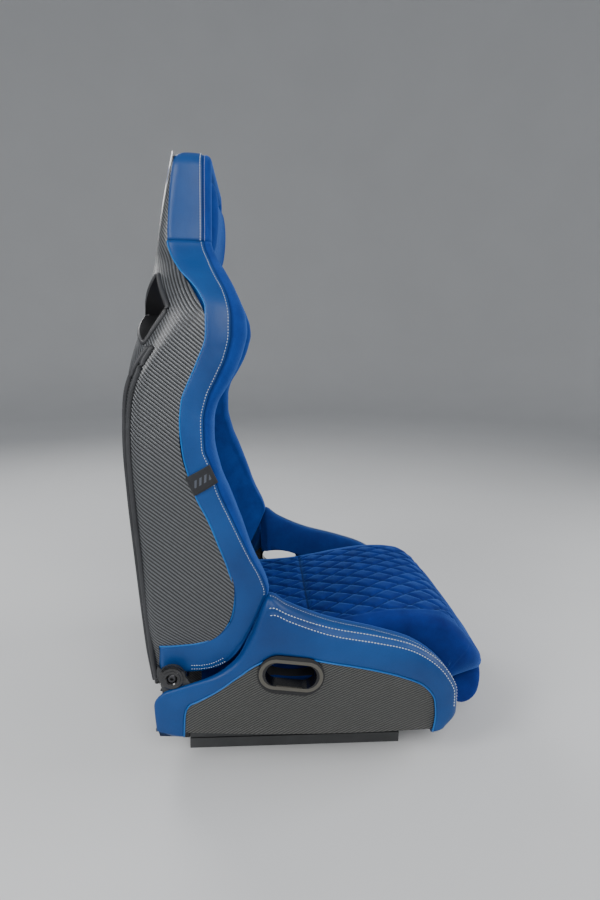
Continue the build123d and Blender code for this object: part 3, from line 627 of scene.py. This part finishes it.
frontSeam = ((161, -179), (170, -137), (197, -104), (236, -83), (288, -61), (304, -56),
             (328, -63), (361, -80), (394, -96), (431, -113), (466, -129), (514, -144),
             (532, -151), (575, -152.5), (612, -145), (641, -132), (671, -119), (705, -112),
             (728, -112), (747, -115), (767, -122), (790, -135), (812, -146), (845, -158),
             (980, -160))
frontNose = ((161, -178), (170, -136), (197, -102), (236, -81), (288, -57), (304, -51),
             (319, -55), (358, -74), (427, -99), (460, -112), (499, -128), (547, -138),
             (573, -138), (598, -133), (630, -115), (656, -102), (686, -92), (709, -88),
             (728, -90), (746, -96), (770, -107), (797, -122), (820, -136), (845, -146),
             (980, -146))
padFront = ((130, -176), (200, -182), (300, -200), (450, -216), (550, -219), (640, -211),
            (720, -196), (800, -176), (860, -160))
innerHalf = ((150, 150), (740, 150), (790, 138), (820, 124), (845, 116), (980, 114))


# Shell at a height: its rear, half width and corner.
def shellAt(z):
    return smoothAt(backRear, z), smoothAt(backHalf, z), smoothAt(backCorner, z)


def skinHalf(x, z):
    rear, half, corner = shellAt(z)
    inset = min(corner, max(0.0, rear + corner - x))
    return half - corner + sqrt(corner * corner - inset * inset)


def innerSide(x, z):
    front = smoothAt(padFront, z)
    return smoothAt(innerHalf, z) + 78 * max(-0.1, (x - front) / (20 - front))


# Outer side of the leather wing, puffed between its seams.
def hideSide(x, z):
    edge = smoothAt(hideEdge, z)
    seam = smoothAt(frontSeam, z)
    share = min(1.0, max(0.0, (x - edge) / max(6.0, seam - edge)))
    return skinHalf(x, z) + 2.2 * puffed(share)


def onHide(x, z, lift):
    return Vector((x, -(hideSide(x, z) + lift), z))


# Wing of the backrest: leather outside, suede round the front and inside.
wing = {"low": 161, "high": 845, "step": 5.0, "leather": 20, "nose": 18, "inner": 20,
        "seamDepth": 1.5}


def wingRow(z):
    edge, seam, nose = smoothAt(hideEdge, z), smoothAt(frontSeam, z), smoothAt(frontNose, z)
    nose = max(nose, seam + 2)
    front, inner = smoothAt(padFront, z), smoothAt(innerHalf, z)
    foot = max(0.0, 1 - (z - wing["low"]) / 7) ** 2 * 4.5
    tuck = (edge - 10, -(skinHalf(edge - 10, z) - 8), z)
    row = [tuck, (edge - 4, -(skinHalf(edge - 4, z) - 5), z),
           (edge - 0.6, -(skinHalf(edge, z) - 0.6), z)]
    marks = [0, 0, 0]
    for n in range(wing["leather"] + 1):
        t = n / wing["leather"]
        x = mixed(edge, seam, t)
        y = hideSide(x, z) + 0.7 + slack(x, 240, z, 0.45) - foot
        if n == wing["leather"]:
            y -= wing["seamDepth"]
        row.append((x, -y, z))
        marks.append(1.0 if n == wing["leather"] else 0.0)
    top = hideSide(seam, z) - foot
    low = innerSide(seam, z)
    middle, half = (top + low) / 2, (top - low) / 2
    for n in range(1, wing["nose"]):
        turn = pi * n / wing["nose"]
        reach = sin(turn) ** 0.72
        side = middle + half * (abs(cos(turn)) ** 0.82) * (1 if cos(turn) > 0 else -1)
        x = seam + (nose - seam) * reach
        row.append((x + slack(x, side, z, 0.5), -side, z))
        marks.append(0.0)
    for n in range(wing["inner"] + 1):
        t = n / wing["inner"]
        x = mixed(seam, front - 4, t)
        y = innerSide(x, z) - 2.5 * sin(pi * t) + slack(x, 170, z, 0.7)
        row.append((x, -y, z))
        marks.append(0.0)
    for t in (0.25, 0.5, 0.75, 1.0):
        row.append((mixed(front - 6, tuck[0], t), mixed(-innerSide(front - 4, z), tuck[1], t), z))
        marks.append(0)
    return row, marks


# Strap hole: corners across and up from its middle, on a line that leans inwards. The cutter
# starts outside the shell by its back, and its length is in metres.
strapHole = {"middle": (-229, -168, 739), "lean": 40, "bead": 3.6, "round": 9, "back": 110,
             "length": 0.24, "corners": ((-52, -8), (30, -53), (52, 2), (-4, 54))}
lean = radians(strapHole["lean"])
strapWay = Vector((cos(lean), sin(lean), 0))
strapAcross = Vector((sin(lean), -cos(lean), 0))


def holePlace(across, up):
    return Vector(strapHole["middle"]) + strapAcross * across + Vector((0, 0, up))


def diamondCutter(side=1, scale=1.02):
    bm = bmesh.new()
    start = [bm.verts.new((holePlace(x * scale, z * scale) - strapWay * strapHole["back"]) * mm)
             for x, z in strapHole["corners"]]
    made = bmesh.ops.extrude_face_region(bm, geom=[bm.faces.new(start)])
    ends = [item for item in made["geom"] if isinstance(item, bmesh.types.BMVert)]
    bmesh.ops.translate(bm, vec=strapWay * strapHole["length"], verts=ends)
    bmesh.ops.holes_fill(bm, edges=[edge for edge in bm.edges if edge.is_boundary], sides=0)
    bmesh.ops.scale(bm, vec=(1, side, 1), verts=bm.verts)
    bmesh.ops.recalc_face_normals(bm, faces=bm.faces)
    for face in bm.faces:
        face.material_index = 2
    return newPiece("diamondCutter", bm, [], smooth=False)


# Where a line along the strap's way meets the shell's outer skin.
def onShell(point):
    outside, inside = -110.0, 40.0
    for n in range(24):
        reach = (outside + inside) / 2
        spot = point + strapWay * reach
        rear, half, corner = shellAt(spot.z)
        across = max(0.0, -spot.y - (half - corner))
        skin = rear + corner - sqrt(max(0.0, corner * corner - across * across))
        if across < corner and spot.x > skin:
            inside = reach
        else:
            outside = reach
    return point + strapWay * inside


def makeWings():
    count = int((wing["high"] - wing["low"]) / wing["step"])
    made = [wingRow(mixed(wing["low"], wing["high"], n / count)) for n in range(count + 1)]
    rows, marks = zip(*made)
    bm = formFrom(rows, closed=True, filled=True, marks=marks)
    secondMaterialFrom(bm, len(rows[0]) - 1, wing["leather"] + 3)
    right = newPiece("backWingRight", bm, [leather, wingSuede, linerCloth])
    cutBy(right, diamondCutter())
    settlePair(right, "backrest", "back_bolster")
    print("back wings ready")


makeWings()


# Grid steps up a cushion's side wall and round its rolled edge, and where its underside turns.
padGrid = {"wall": 4, "roll": 5, "under": 0.4}


# Cushion along a side profile: top face with sewn channels, rolled edges and side walls. The
# functions give its depth, half width, channels, crown and which way is down into it.
def pillow(profile, depth, half, roll, channel, rise, step, inwardAt):
    points = evenPoints([Vector((x, 0, z)) for x, z in profile], step)
    rows, marks = [], []
    run = 0.0
    across = int(2 * half(points[len(points) // 2], 0) / step)
    wallSteps, rollSteps, under = padGrid.values()
    for index, point in enumerate(points):
        before, after = points[max(0, index - 1)], points[min(len(points) - 1, index + 1)]
        along = (after - before).normalized()
        if index:
            run += (point - points[index - 1]).length
        inward = inwardAt(point)
        out = Vector((-along.z, 0, along.x))
        wide = half(point, run)
        deep = depth(point, run)
        row, mark = [], []

        def place(y, drop, sewn=0.0, lift=0.0):
            spot = point + inward * drop + out * lift
            row.append((spot.x, y, spot.z))
            mark.append(sewn)

        for n in range(wallSteps + 1):
            place(-wide, mixed(deep, roll, n / wallSteps))
        for n in range(1, rollSteps + 1):
            turn = pi / 2 * n / rollSteps
            place(-wide + roll * (1 - cos(turn)), roll * (1 - sin(turn)))
        flat = wide - roll
        for n in range(1, across):
            y = -flat + 2 * flat * n / across
            sink, sewn = channel(run, y, point)
            crown = rise(point) * (1 - (abs(y) / flat) ** 2.6)
            place(y, 0, sewn, crown - sink + slack(point.x, y, point.z, 0.7, 46))
        for n in range(rollSteps, -1, -1):
            turn = pi / 2 * n / rollSteps
            place(wide - roll * (1 - cos(turn)), roll * (1 - sin(turn)))
        for n in range(wallSteps, -1, -1):
            place(wide, mixed(deep, roll, n / wallSteps))
        place(wide * under, deep)
        place(-wide * under, deep)
        row.append(row[0])
        mark.append(0.0)
        rows.append(row)
        marks.append(mark)
    return rows, marks


# Sewn diamonds: how far a place sinks towards the nearest channel, and how sewn it is.
def quilted(run, y, pad):
    first = run / pad["long"] + y / pad["wide"]
    second = run / pad["long"] - y / pad["wide"]
    gap = min(abs(first - round(first)), abs(second - round(second)))
    reach = pad["long"] * pad["wide"] / sqrt(pad["long"] ** 2 + pad["wide"] ** 2)
    away = gap * reach
    middle = min(1.0, away / (reach * 0.32))
    return pad["depth"] * hollow(away, 2.4) - pad["puff"] * sin(middle * pi / 2), hollow(away, 1.3)


# Seat cushion: cross seams at cross and end, a nose rounded past nose, side seams in by margin.
seatPad = {"half": 187, "roll": 20, "depth": 3.2, "puff": 2.6, "long": 62, "wide": 40, "cross": 27,
           "end": 296, "low": 66, "nose": 310, "noseRound": 42, "tail": -140, "margin": 14,
           "crown": 5.0, "step": 3.0}
seatLine = ((-165, 150), (-163, 171), (-153, 184), (-130, 189), (-60, 193), (16, 200), (109, 218),
            (160, 226), (205, 228), (240, 225.5), (265, 219), (290, 201), (312, 175), (331, 150),
            (345, 127), (351, 112), (352, 99), (348, 82), (340, 69), (328, 61), (314, 57))


def makeSeatCushion():
    p = seatPad

    def half(point, run):
        x = point.x
        if x > p["nose"]:
            return p["half"] - p["noseRound"] + sqrt(max(0, p["noseRound"] ** 2 - (x - p["nose"]) ** 2))
        if x < p["tail"]:
            return p["half"] - 14 * ((p["tail"] - x) / 32) ** 2
        return p["half"] - 1.5 * sin(x / 60)

    def depth(point, run):
        if point.z < 140 and point.x > 300:
            return 60
        return max(46.0, point.z - p["low"])

    def inward(point):
        if point.x > 250:
            aim = Vector((mixed(point.x, 236, eased((point.x - 250) / 60)), 0, 78))
            return (aim - point).normalized()
        return Vector((0, 0, -1))

    def channel(run, y, point):
        edge = p["half"] - p["roll"]
        if point.x > p["end"] or point.z < 150:
            sink, sewn = -1.5, 0.0
            if abs(y) < edge and point.z > 160:
                sink += 3.5 * hollow(point.x - p["end"], 2.5)
        elif abs(y) > edge - p["margin"]:
            sewn = hollow(abs(y) - (edge - p["margin"]), 1.3)
            sink = 2.6 * sewn - 0.8
        else:
            sink, sewn = quilted(run, y, p)
        for line in (p["cross"], p["end"]):
            away = abs(point.x - line)
            if away < 8 and point.z > 150:
                sewn = max(sewn, hollow(away, 1.5))
                sink = max(sink, 3.6 * hollow(away, 2.6))
        fade = min(1.0, max(0.0, (edge - abs(y)) / 6))
        return sink * fade, sewn * fade

    rows, marks = pillow(lineThrough(seatLine), depth, half, p["roll"], channel,
                         lambda point: p["crown"], p["step"], inward)
    bm = formFrom(rows, closed=True, filled=True, marks=marks)
    cushion = newPiece("seatCushion", bm, [suede])
    settle(cushion, "seat_base", ("seat_cushion",))
    print("seat cushion ready")


makeSeatCushion()

# Back pad: quilted up to its cross seam, with side seams in by margin.
backCushion = {"half": 149, "roll": 12, "depth": 2.8, "puff": 2.0, "long": 62, "wide": 40,
               "deep": 26, "cross": 655, "margin": 18, "crown": 3.0, "step": 3.4}


def makeBackPad():
    p = backCushion
    line = [(smoothAt(padFront, z) - 2, z) for z in range(158, 800, 6)]

    def half(point, run):
        return min(p["half"], smoothAt(innerHalf, point.z) - 1)

    def depth(point, run):
        return p["deep"]

    def channel(run, y, point):
        edge = half(point, run) - p["roll"]
        if abs(y) > edge - p["margin"]:
            sewn = hollow(abs(y) - (edge - p["margin"]), 1.3)
            return 2.4 * sewn - 1.2, sewn
        if point.z > p["cross"]:
            sewn = hollow(point.z - p["cross"], 1.4)
            return 3.0 * sewn - 1.5, sewn
        return quilted(run, y, p)

    rows, marks = pillow(line, depth, half, p["roll"], channel, lambda point: p["crown"],
                         p["step"], lambda point: Vector((-1, 0, 0)))
    bm = formFrom(rows, closed=True, filled=True, marks=marks)
    pad = newPiece("backPad", bm, [suede, suede, linerCloth])
    cutBy(pad, diamondCutter())
    cutBy(pad, diamondCutter(-1))
    settle(pad, "backrest", ("back_pad",))
    print("back pad ready")


makeBackPad()

# Headrest: a crowned pad set in a wrapped leather band.
head = {"half": 111, "roll": 15, "low": 801, "high": 951, "middle": 876, "reach": 76, "front": -137,
        "deep": 56, "shallow": 14, "crown": 7.0, "step": 3.4}
headLine = ((-172, 801), (-166, 806), (-152, 822), (-142, 843), (-138, 870), (-137, 898),
            (-139, 922), (-144, 938), (-154, 948), (-164, 951.4))


def makeHeadPad():
    p = head

    def half(point, run):
        return p["half"] - 3 * (abs(point.z - p["middle"]) / p["reach"]) ** 4

    def depth(point, run):
        return max(p["shallow"], p["deep"] + (point.x - p["front"]))

    def channel(run, y, point):
        sewn = hollow(abs(y) - (p["half"] - p["roll"] - 4), 1.4) * 0.6
        return 1.6 * sewn - 1.0, sewn

    def rise(point):
        share = (point.z - p["low"]) / (p["high"] - p["low"])
        return p["crown"] * sin(pi * min(1, max(0, share)))

    rows, marks = pillow(lineThrough(headLine), depth, half, p["roll"], channel, rise, p["step"],
                         lambda point: Vector((-1, 0, 0)))
    bm = formFrom(rows, closed=True, filled=True, marks=marks)
    pad = newPiece("headrestPad", bm, [wingSuede])
    settle(pad, "backrest", ("headrest_pad",))
    print("headrest pad ready")


makeHeadPad()

# Leather band round the headrest: it starts at low, turns over a corner from bend, and its outer
# face lies below high by 1.
band = {"seam": -160, "nose": -146, "inner": 113, "low": 845, "step": 5, "bend": 951, "high": 979,
        "corner": 27, "leather": 14, "nosing": 14, "lip": 22, "seamDepth": 1.5}


# Section of the band: places forwards, and inwards from its outer face.
def bandRow(z, half):
    edge = smoothAt(hideEdge, z)
    seam, nose, lip = band["seam"], band["nose"], band["seam"] - band["lip"]
    thick = half - band["inner"]
    row = [(edge - 8, 6), (edge - 3, 4), (edge - 0.5, 0.4)]
    for n in range(band["leather"] + 1):
        share = n / band["leather"]
        inset = band["seamDepth"] if share == 1 else 0
        row.append((mixed(edge, seam, share), inset - 0.7 - 1.6 * puffed(share)))
    sewn = len(row) - 1
    for n in range(1, band["nosing"]):
        turn = pi * n / band["nosing"]
        side = thick / 2 * (1 - (abs(cos(turn)) ** 0.8) * (1 if cos(turn) > 0 else -1))
        row.append((seam + (nose - seam) * sin(turn) ** 0.7, side))
    row += [(mixed(seam, lip, n / 5), thick) for n in range(6)]
    row.append((mixed(lip, edge - 8, 0.5), thick * 0.7))
    return row, [1.0 if n == sewn else 0.0 for n in range(len(row))]


def makeHeadBand():
    rows, marks = [], []
    stations = []
    for z in [band["low"] + band["step"] * n for n in range(22)]:
        half = smoothAt(backHalf, z)
        stations.append((Vector((0, -half, z)), Vector((0, -1, 0)), z, half))
    topHalf = smoothAt(backHalf, band["bend"])
    corner = band["corner"]
    centre = Vector((0, -(topHalf - corner), band["high"] - corner - 1))
    for n in range(13):
        turn = radians(90 * n / 12)
        out = Vector((0, -cos(turn), sin(turn)))
        stations.append((centre + out * corner, out, band["bend"] + 24 * n / 12, topHalf))
    for n in range(1, 23):
        y = -(topHalf - corner) * (1 - n / 22)
        stations.append((Vector((0, y, band["high"] - 1)), Vector((0, 0, 1)), 975, topHalf))
    stations += [(Vector((0, -spot.y, spot.z)), Vector((0, -out.y, out.z)), z, half)
                 for spot, out, z, half in reversed(stations[:-1])]
    for spot, out, z, half in stations:
        row, mark = bandRow(z, half)
        line = []
        for x, inset in row:
            drop = max(0.0, smoothAt(backRear, z) + smoothAt(backCorner, z) - x) ** 2 / 60
            place = spot - out * (inset + drop)
            line.append((x, place.y, place.z))
        line.append(line[0])
        rows.append(line)
        marks.append(mark + [mark[0]])
    bm = formFrom(rows, closed=True, filled=True, marks=marks)
    secondMaterialFrom(bm, len(rows[0]) - 1, band["leather"] + 3)
    piece = newPiece("headrestBand", bm, [leather, wingSuede])
    settle(piece, "backrest", ("headrest_band",))
    print("headrest band ready")

    def facing(point):
        place = Vector((0, point.y, point.z))
        return min(stations, key=lambda station: (place - station[0]).length_squared)[1]

    thread = bmesh.new()
    for kind, back, lift in (("bandBold", -2.6, 1.2), ("bandFine", 4.0, -0.4)):
        line = [spot + out * lift + Vector((band["seam"] + back, 0, 0))
                for spot, out, z, half in stations]
        stitchRow(thread, line, facing, kind)
    settle(newPiece("headrestThread", thread, [whiteThread]), "backrest")
    cross = bmesh.new()
    path = [Vector((x, -(skinHalf(x, 844) + 2.0), 844)) for x in range(-210, -161, 4)]
    stitchRow(cross, path, sideways, "cross")
    settlePair(newPiece("crossSeamRight", cross, [darkThread]), "backrest")
    print("headrest stitching ready")


makeHeadBand()


# Leather bolster round the base. Rungs run from the panel's edge to the crest, from rear to front.
# Keys along them give the crest's half width, the seam's share of the way up, and the inner side.
bolster = {"crest": ((0.0, 252), (3.0, 251.5), (4.5, 246), (7.0, 237), (9.0, 228), (12.0, 226),
                     (15.0, 226)),
           "sewnAt": ((6.0, 0.55), (7.5, 0.58), (9.0, 0.62), (11.0, 0.74), (12.0, 0.78),
                      (13.0, 0.74), (15.0, 0.7)),
           "inner": ((0.0, 248), (3.2, 248), (4.6, 240), (6.0, 214), (7.2, 190), (15.0, 190)),
           "last": 15.0, "rows": 190, "face": 28, "inside": 18}
rungs = ((-186, 62, -230, 74), (-184, 100, -233, 117), (-178, 117, -219, 138), (-160, 127, -174, 154),
         (-133, 143, -136, 167), (-100, 168, -101, 194), (-68, 191, -79, 234), (-36, 203, -51, 299),
         (0, 201, -22, 281), (50, 191, 43, 253), (109, 178, 127, 231), (165, 161, 190, 209),
         (208, 140, 246, 164), (227, 112, 269, 121), (230, 82, 270, 85), (227, 54, 253, 60))
rungKeys = [[(n, rung[side]) for n, rung in enumerate(rungs)] for side in range(4)]
baseHalf = ((-233, 254), (20, 262), (200, 254), (244, 250))


def planSide(x):
    if x > 236:
        return 249.5 - (x - 236) * 0.9
    return smoothAt(baseHalf, x)


# A rung's edge, its crest and how far apart they are seen from the side.
def rungAt(v):
    ex, ez, tx, tz = (smoothAt(keys, v) for keys in rungKeys)
    edge = Vector((ex, -(planSide(ex) + 0.7), ez))
    crest = Vector((tx, -smoothAt(bolster["crest"], v), tz))
    return edge, crest, (edge.xz - crest.xz).length


# Place on the bolster's outer face: share 0 at the panel's edge and 1 at the crest.
def bolsterFace(v, share):
    edge, crest, length = rungAt(v)
    turn = pi / 2 * share
    up = sin(turn) ** 0.86
    return Vector((mixed(edge.x, crest.x, up), mixed(crest.y, edge.y, cos(turn) ** 0.5),
                   mixed(edge.z, crest.z, up)))


def bolsterRow(v):
    edge, crest, length = rungAt(v)
    seam = smoothAt(bolster["sewnAt"], v)
    row = [edge + Vector(tuck) for tuck in ((0, 9, -7), (0, 4, -3), (0, 1.0, -0.3))]
    mark = [0.0, 0.0, 0.0]
    for k in range(bolster["face"] + 1):
        share = k / bolster["face"]
        point = bolsterFace(v, share)
        sewn = hollow((share - seam) * length * 0.9, 1.1) if v > 6.6 else 0.0
        push = 2.2 * puffed(share) * min(1.0, length / 40) - 1.3 * sewn
        row.append(point - Vector((0, push + slack(point.x, point.y, point.z, 0.5), 0)))
        mark.append(sewn)
    inner = smoothAt(bolster["inner"], v)
    if v <= 6.5:
        foot = (crest.x + 4, crest.z - 16)
    else:
        foot = (min(crest.x + 4, 222) if v > 7 else crest.x + 12, max(62, min(104, crest.z - 30)))
    for k in range(1, bolster["inside"] + 1):
        turn = pi / 2 * k / bolster["inside"]
        share = 1 - cos(turn)
        row.append(Vector((mixed(crest.x, foot[0], share), mixed(crest.y, -inner, sin(turn) ** 0.75),
                           mixed(crest.z, foot[1], share ** 1.1))))
    last = row[-1]
    row += [last.lerp(row[0], k / 4) for k in (1, 2, 3)] + [row[0]]
    return [tuple(point) for point in row], mark + [0.0] * (len(row) - len(mark))


def makeBolsters():
    made = [bolsterRow(bolster["last"] * n / bolster["rows"]) for n in range(bolster["rows"] + 1)]
    rows, marks = zip(*made)
    bm = formFrom(rows, closed=True, filled=True, marks=marks)
    secondMaterialFrom(bm, len(rows[0]) - 1, bolster["face"] + 3.5)
    right = newPiece("baseBolsterRight", bm, [leather, innerSuede, linerCloth])
    # Belt passage, flaring towards the seat.
    cutter = bmesh.new()
    bmesh.ops.create_cone(cutter, cap_ends=True, segments=40, radius1=1.0, radius2=1.35, depth=0.14)
    for face in cutter.faces:
        face.material_index = 2
    bmesh.ops.scale(cutter, vec=(0.052, 0.027, 1), verts=cutter.verts)
    for angle, axis in ((radians(-90), "X"), (beltSlot["lean"], "Y")):
        bmesh.ops.rotate(cutter, matrix=Matrix.Rotation(angle, 3, axis), verts=cutter.verts)
    bmesh.ops.translate(cutter, vec=(beltSlot["x"], -0.22, beltSlot["z"]), verts=cutter.verts)
    bmesh.ops.recalc_face_normals(cutter, faces=cutter.faces)
    cutBy(right, newPiece("beltCutter", cutter, [], smooth=False), True)
    settlePair(right, "seat_base", "base_bolster")

    # Two bold rows either side of the seam, and a fine row under the crest.
    thread = bmesh.new()
    for offset in (6.0, -6.5):
        line = []
        for n in range(121):
            v = mixed(6.9, 13.6, n / 120)
            share = smoothAt(bolster["sewnAt"], v) + offset / rungAt(v)[2]
            line.append(bolsterFace(v, min(0.99, max(0.02, share))) + Vector((0, -1.8, 0)))
        stitchRow(thread, line, lambda point: Vector((0, -1, 0.55)), "baseBold")
    line = [bolsterFace(mixed(7.0, 13.4, n / 120), 0.97) + Vector((0, -1.2, 0.4)) for n in range(121)]
    stitchRow(thread, line, lambda point: Vector((0, -0.5, 1)), "crest")
    settlePair(newPiece("baseThreadRight", thread, [whiteThread]), "seat_base")
    print("base bolsters ready")


makeBolsters()

# Two stitched rows by the hinge, where the edging starts, and its radius.
trim = {"hinge": (((-176, 171), (-160, 170.5), (-145, 172.5), (-132, 177), (-120, 184)),
                  ((-176, 178), (-160, 177.5), (-146, 179.5), (-134, 184), (-123, 191))),
        "start": [(-224, 213), (-208, 213), (-192, 214)], "cord": 1.3}


# Fine rows and cords on the backrest, and the cord round the base's panel; the cords take the lighter
# hide, a painted highlight.
def makeWingTrim():
    thread = bmesh.new()
    line = [onHide(smoothAt(frontSeam, z) - 3.2, z, 1.1) for z in range(300, 845, 4)]
    stitchRow(thread, line, lambda point: Vector((0.2, -1, 0)), "wingFront")
    for row in trim["hinge"]:
        stitchRow(thread, [onHide(x, z, 0.6) for x, z in row], sideways, "hinge")
    settlePair(newPiece("wingThreadRight", thread, [whiteThread]), "backrest")

    cord = trim["start"] + [(smoothAt(hideEdge, z), z) for z in range(216, 846, 4)]
    cord = [Vector((x - 0.4, -(skinHalf(x, z) + 0.4), z)) for x, z in cord]
    bm = cordForm(evenPoints(cord, 4), trim["cord"])
    settlePair(newPiece("wingEdgingRight", bm, [pipingHide]), "backrest")

    cord = [rungAt(bolster["last"] * n / 160)[0] + Vector((0, -0.2, -0.2)) for n in range(161)]
    bm = cordForm(evenPoints(cord, 4), trim["cord"])
    settlePair(newPiece("panelEdgingRight", bm, [pipingHide]), "seat_base")
    print("edgings and threads ready")


makeWingTrim()

# Rubber beads: one framing each strap hole, and two down each rear corner that meet below it.
bead = {"radius": 4.3, "turns": (12, 48), "meet": 60, "low": 140, "high": 560, "foot": (30, -57),
        "sides": 10}


def cornerPlace(z, turn):
    rear, half, corner = shellAt(z)
    turn = radians(turn)
    return Vector((rear + corner * (1 - cos(turn)) - 0.6, -(half - corner * (1 - sin(turn)) + 0.3), z))


def makeBeads():
    corners = [Vector(corner) for corner in strapHole["corners"]]
    loop = []
    for index, here in enumerate(corners):
        before, after = corners[index - 1], corners[(index + 1) % len(corners)]
        start = here.lerp(before, strapHole["round"] / (before - here).length)
        share = strapHole["round"] / (after - here).length
        end, far = here.lerp(after, share), after.lerp(here, share)
        for n in range(7):
            t = n / 6
            loop.append(start * (1 - t) ** 2 + here * 2 * t * (1 - t) + end * t * t)
        run = int((after - here).length / 6)
        loop += [end.lerp(far, n / run) for n in range(1, run)]
    ring = [onShell(holePlace(spot.x * 1.02, spot.y * 1.02)) for spot in loop]
    bm = cordForm(ring, strapHole["bead"], bead["sides"], looped=True)
    settlePair(newPiece("strapBeadRight", bm, [beadRubber]), "backrest")

    bm = bmesh.new()
    foot = onShell(holePlace(*bead["foot"]))
    for number, turn in enumerate(bead["turns"]):
        points = [cornerPlace(mixed(bead["low"], bead["high"], n / 80), turn) for n in range(81)]
        meet = bead["meet"] + 7 * (number - 0.5)
        for n in range(1, 25):
            t = n / 24
            z = mixed(bead["high"], foot.z + 2, t)
            points.append(cornerPlace(z, mixed(turn, meet, eased(t) ** 1.3)))
        cordForm(evenPoints(points, 6), bead["radius"], bead["sides"], bm=bm)
    right = newPiece("cornerBeadsRight", bm, [beadRubber])
    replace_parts(right, "shell_edge_trim")
    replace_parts(settlePair(right, "backrest"), "shell_edge_trim")
    print("beads ready")


makeBeads()

# Woven ribbon round the wing's front edge, on the right only.
tag = {"corners": ((-179, 490), (-143, 511), (-130, 484), (-166, 462)), "lift": 1.6, "thick": 0.9,
       "across": 16, "down": 12}


def makeTag():
    rear, front, lowFront, lowRear = (Vector(corner) for corner in tag["corners"])
    rows = []
    for j in range(tag["down"] + 1):
        down = j / tag["down"]
        row = []
        for i in range(tag["across"] + 1):
            across = i / tag["across"]
            spot = rear.lerp(front, across).lerp(lowRear.lerp(lowFront, across), down)
            lift = tag["lift"] + 1.1 * sin(pi * across) + 0.5 * sin(pi * down)
            row.append(onHide(spot.x, spot.y, lift))
        rows.append(row)
    bm = formFrom(rows)
    bmesh.ops.solidify(bm, geom=bm.faces, thickness=tag["thick"] * mm)
    bmesh.ops.recalc_face_normals(bm, faces=bm.faces)
    settle(newPiece("sideTag", bm, [ribbon]), "backrest", ("side_tag",))
    print("side tag ready")


makeTag()

# CAD parts that keep their shape and get their own finish.
dress = {"lower_rail": railPaint, "upper_rail": railPaint, "slide_glides": blackMould,
         "rail_end_caps": blackMould, "base_shell": baseTwill, "rail_spacers": zincPlate,
         "rail_bolts": yellowZinc, "lap_bezel": beltBezel, "hinge_ear": steelPaint,
         "ear_screws": zincPlate, "hinge_cap": glossMould, "pivot_bolt": darkBolt,
         "pivot_nuts": zincPlate, "pivot_washers": zincPlate, "upright_stops": zincPlate,
         "back_arm": steelPaint, "pivot_bush": bronzeMetal, "arm_screws": zincPlate,
         "pawl_shaft": zincPlate, "recline_pawl": steelPaint, "shaft_bushes": blackMould,
         "recline_lever": steelPaint, "lever_grip": blackMould, "recline_spring": zincPlate,
         "latch_pins": zincPlate, "latch_lever": steelPaint, "release_bar": railPaint,
         "bar_grip": beadRubber, "back_shell": backTwill, "harness_bezel": blackMould}
for node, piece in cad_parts.items():
    base = node.replace("_right", "").replace("_left", "")
    if base in dress:
        piece.data.materials.clear()
        piece.data.materials.append(dress[base])
print("frame parts dressed")
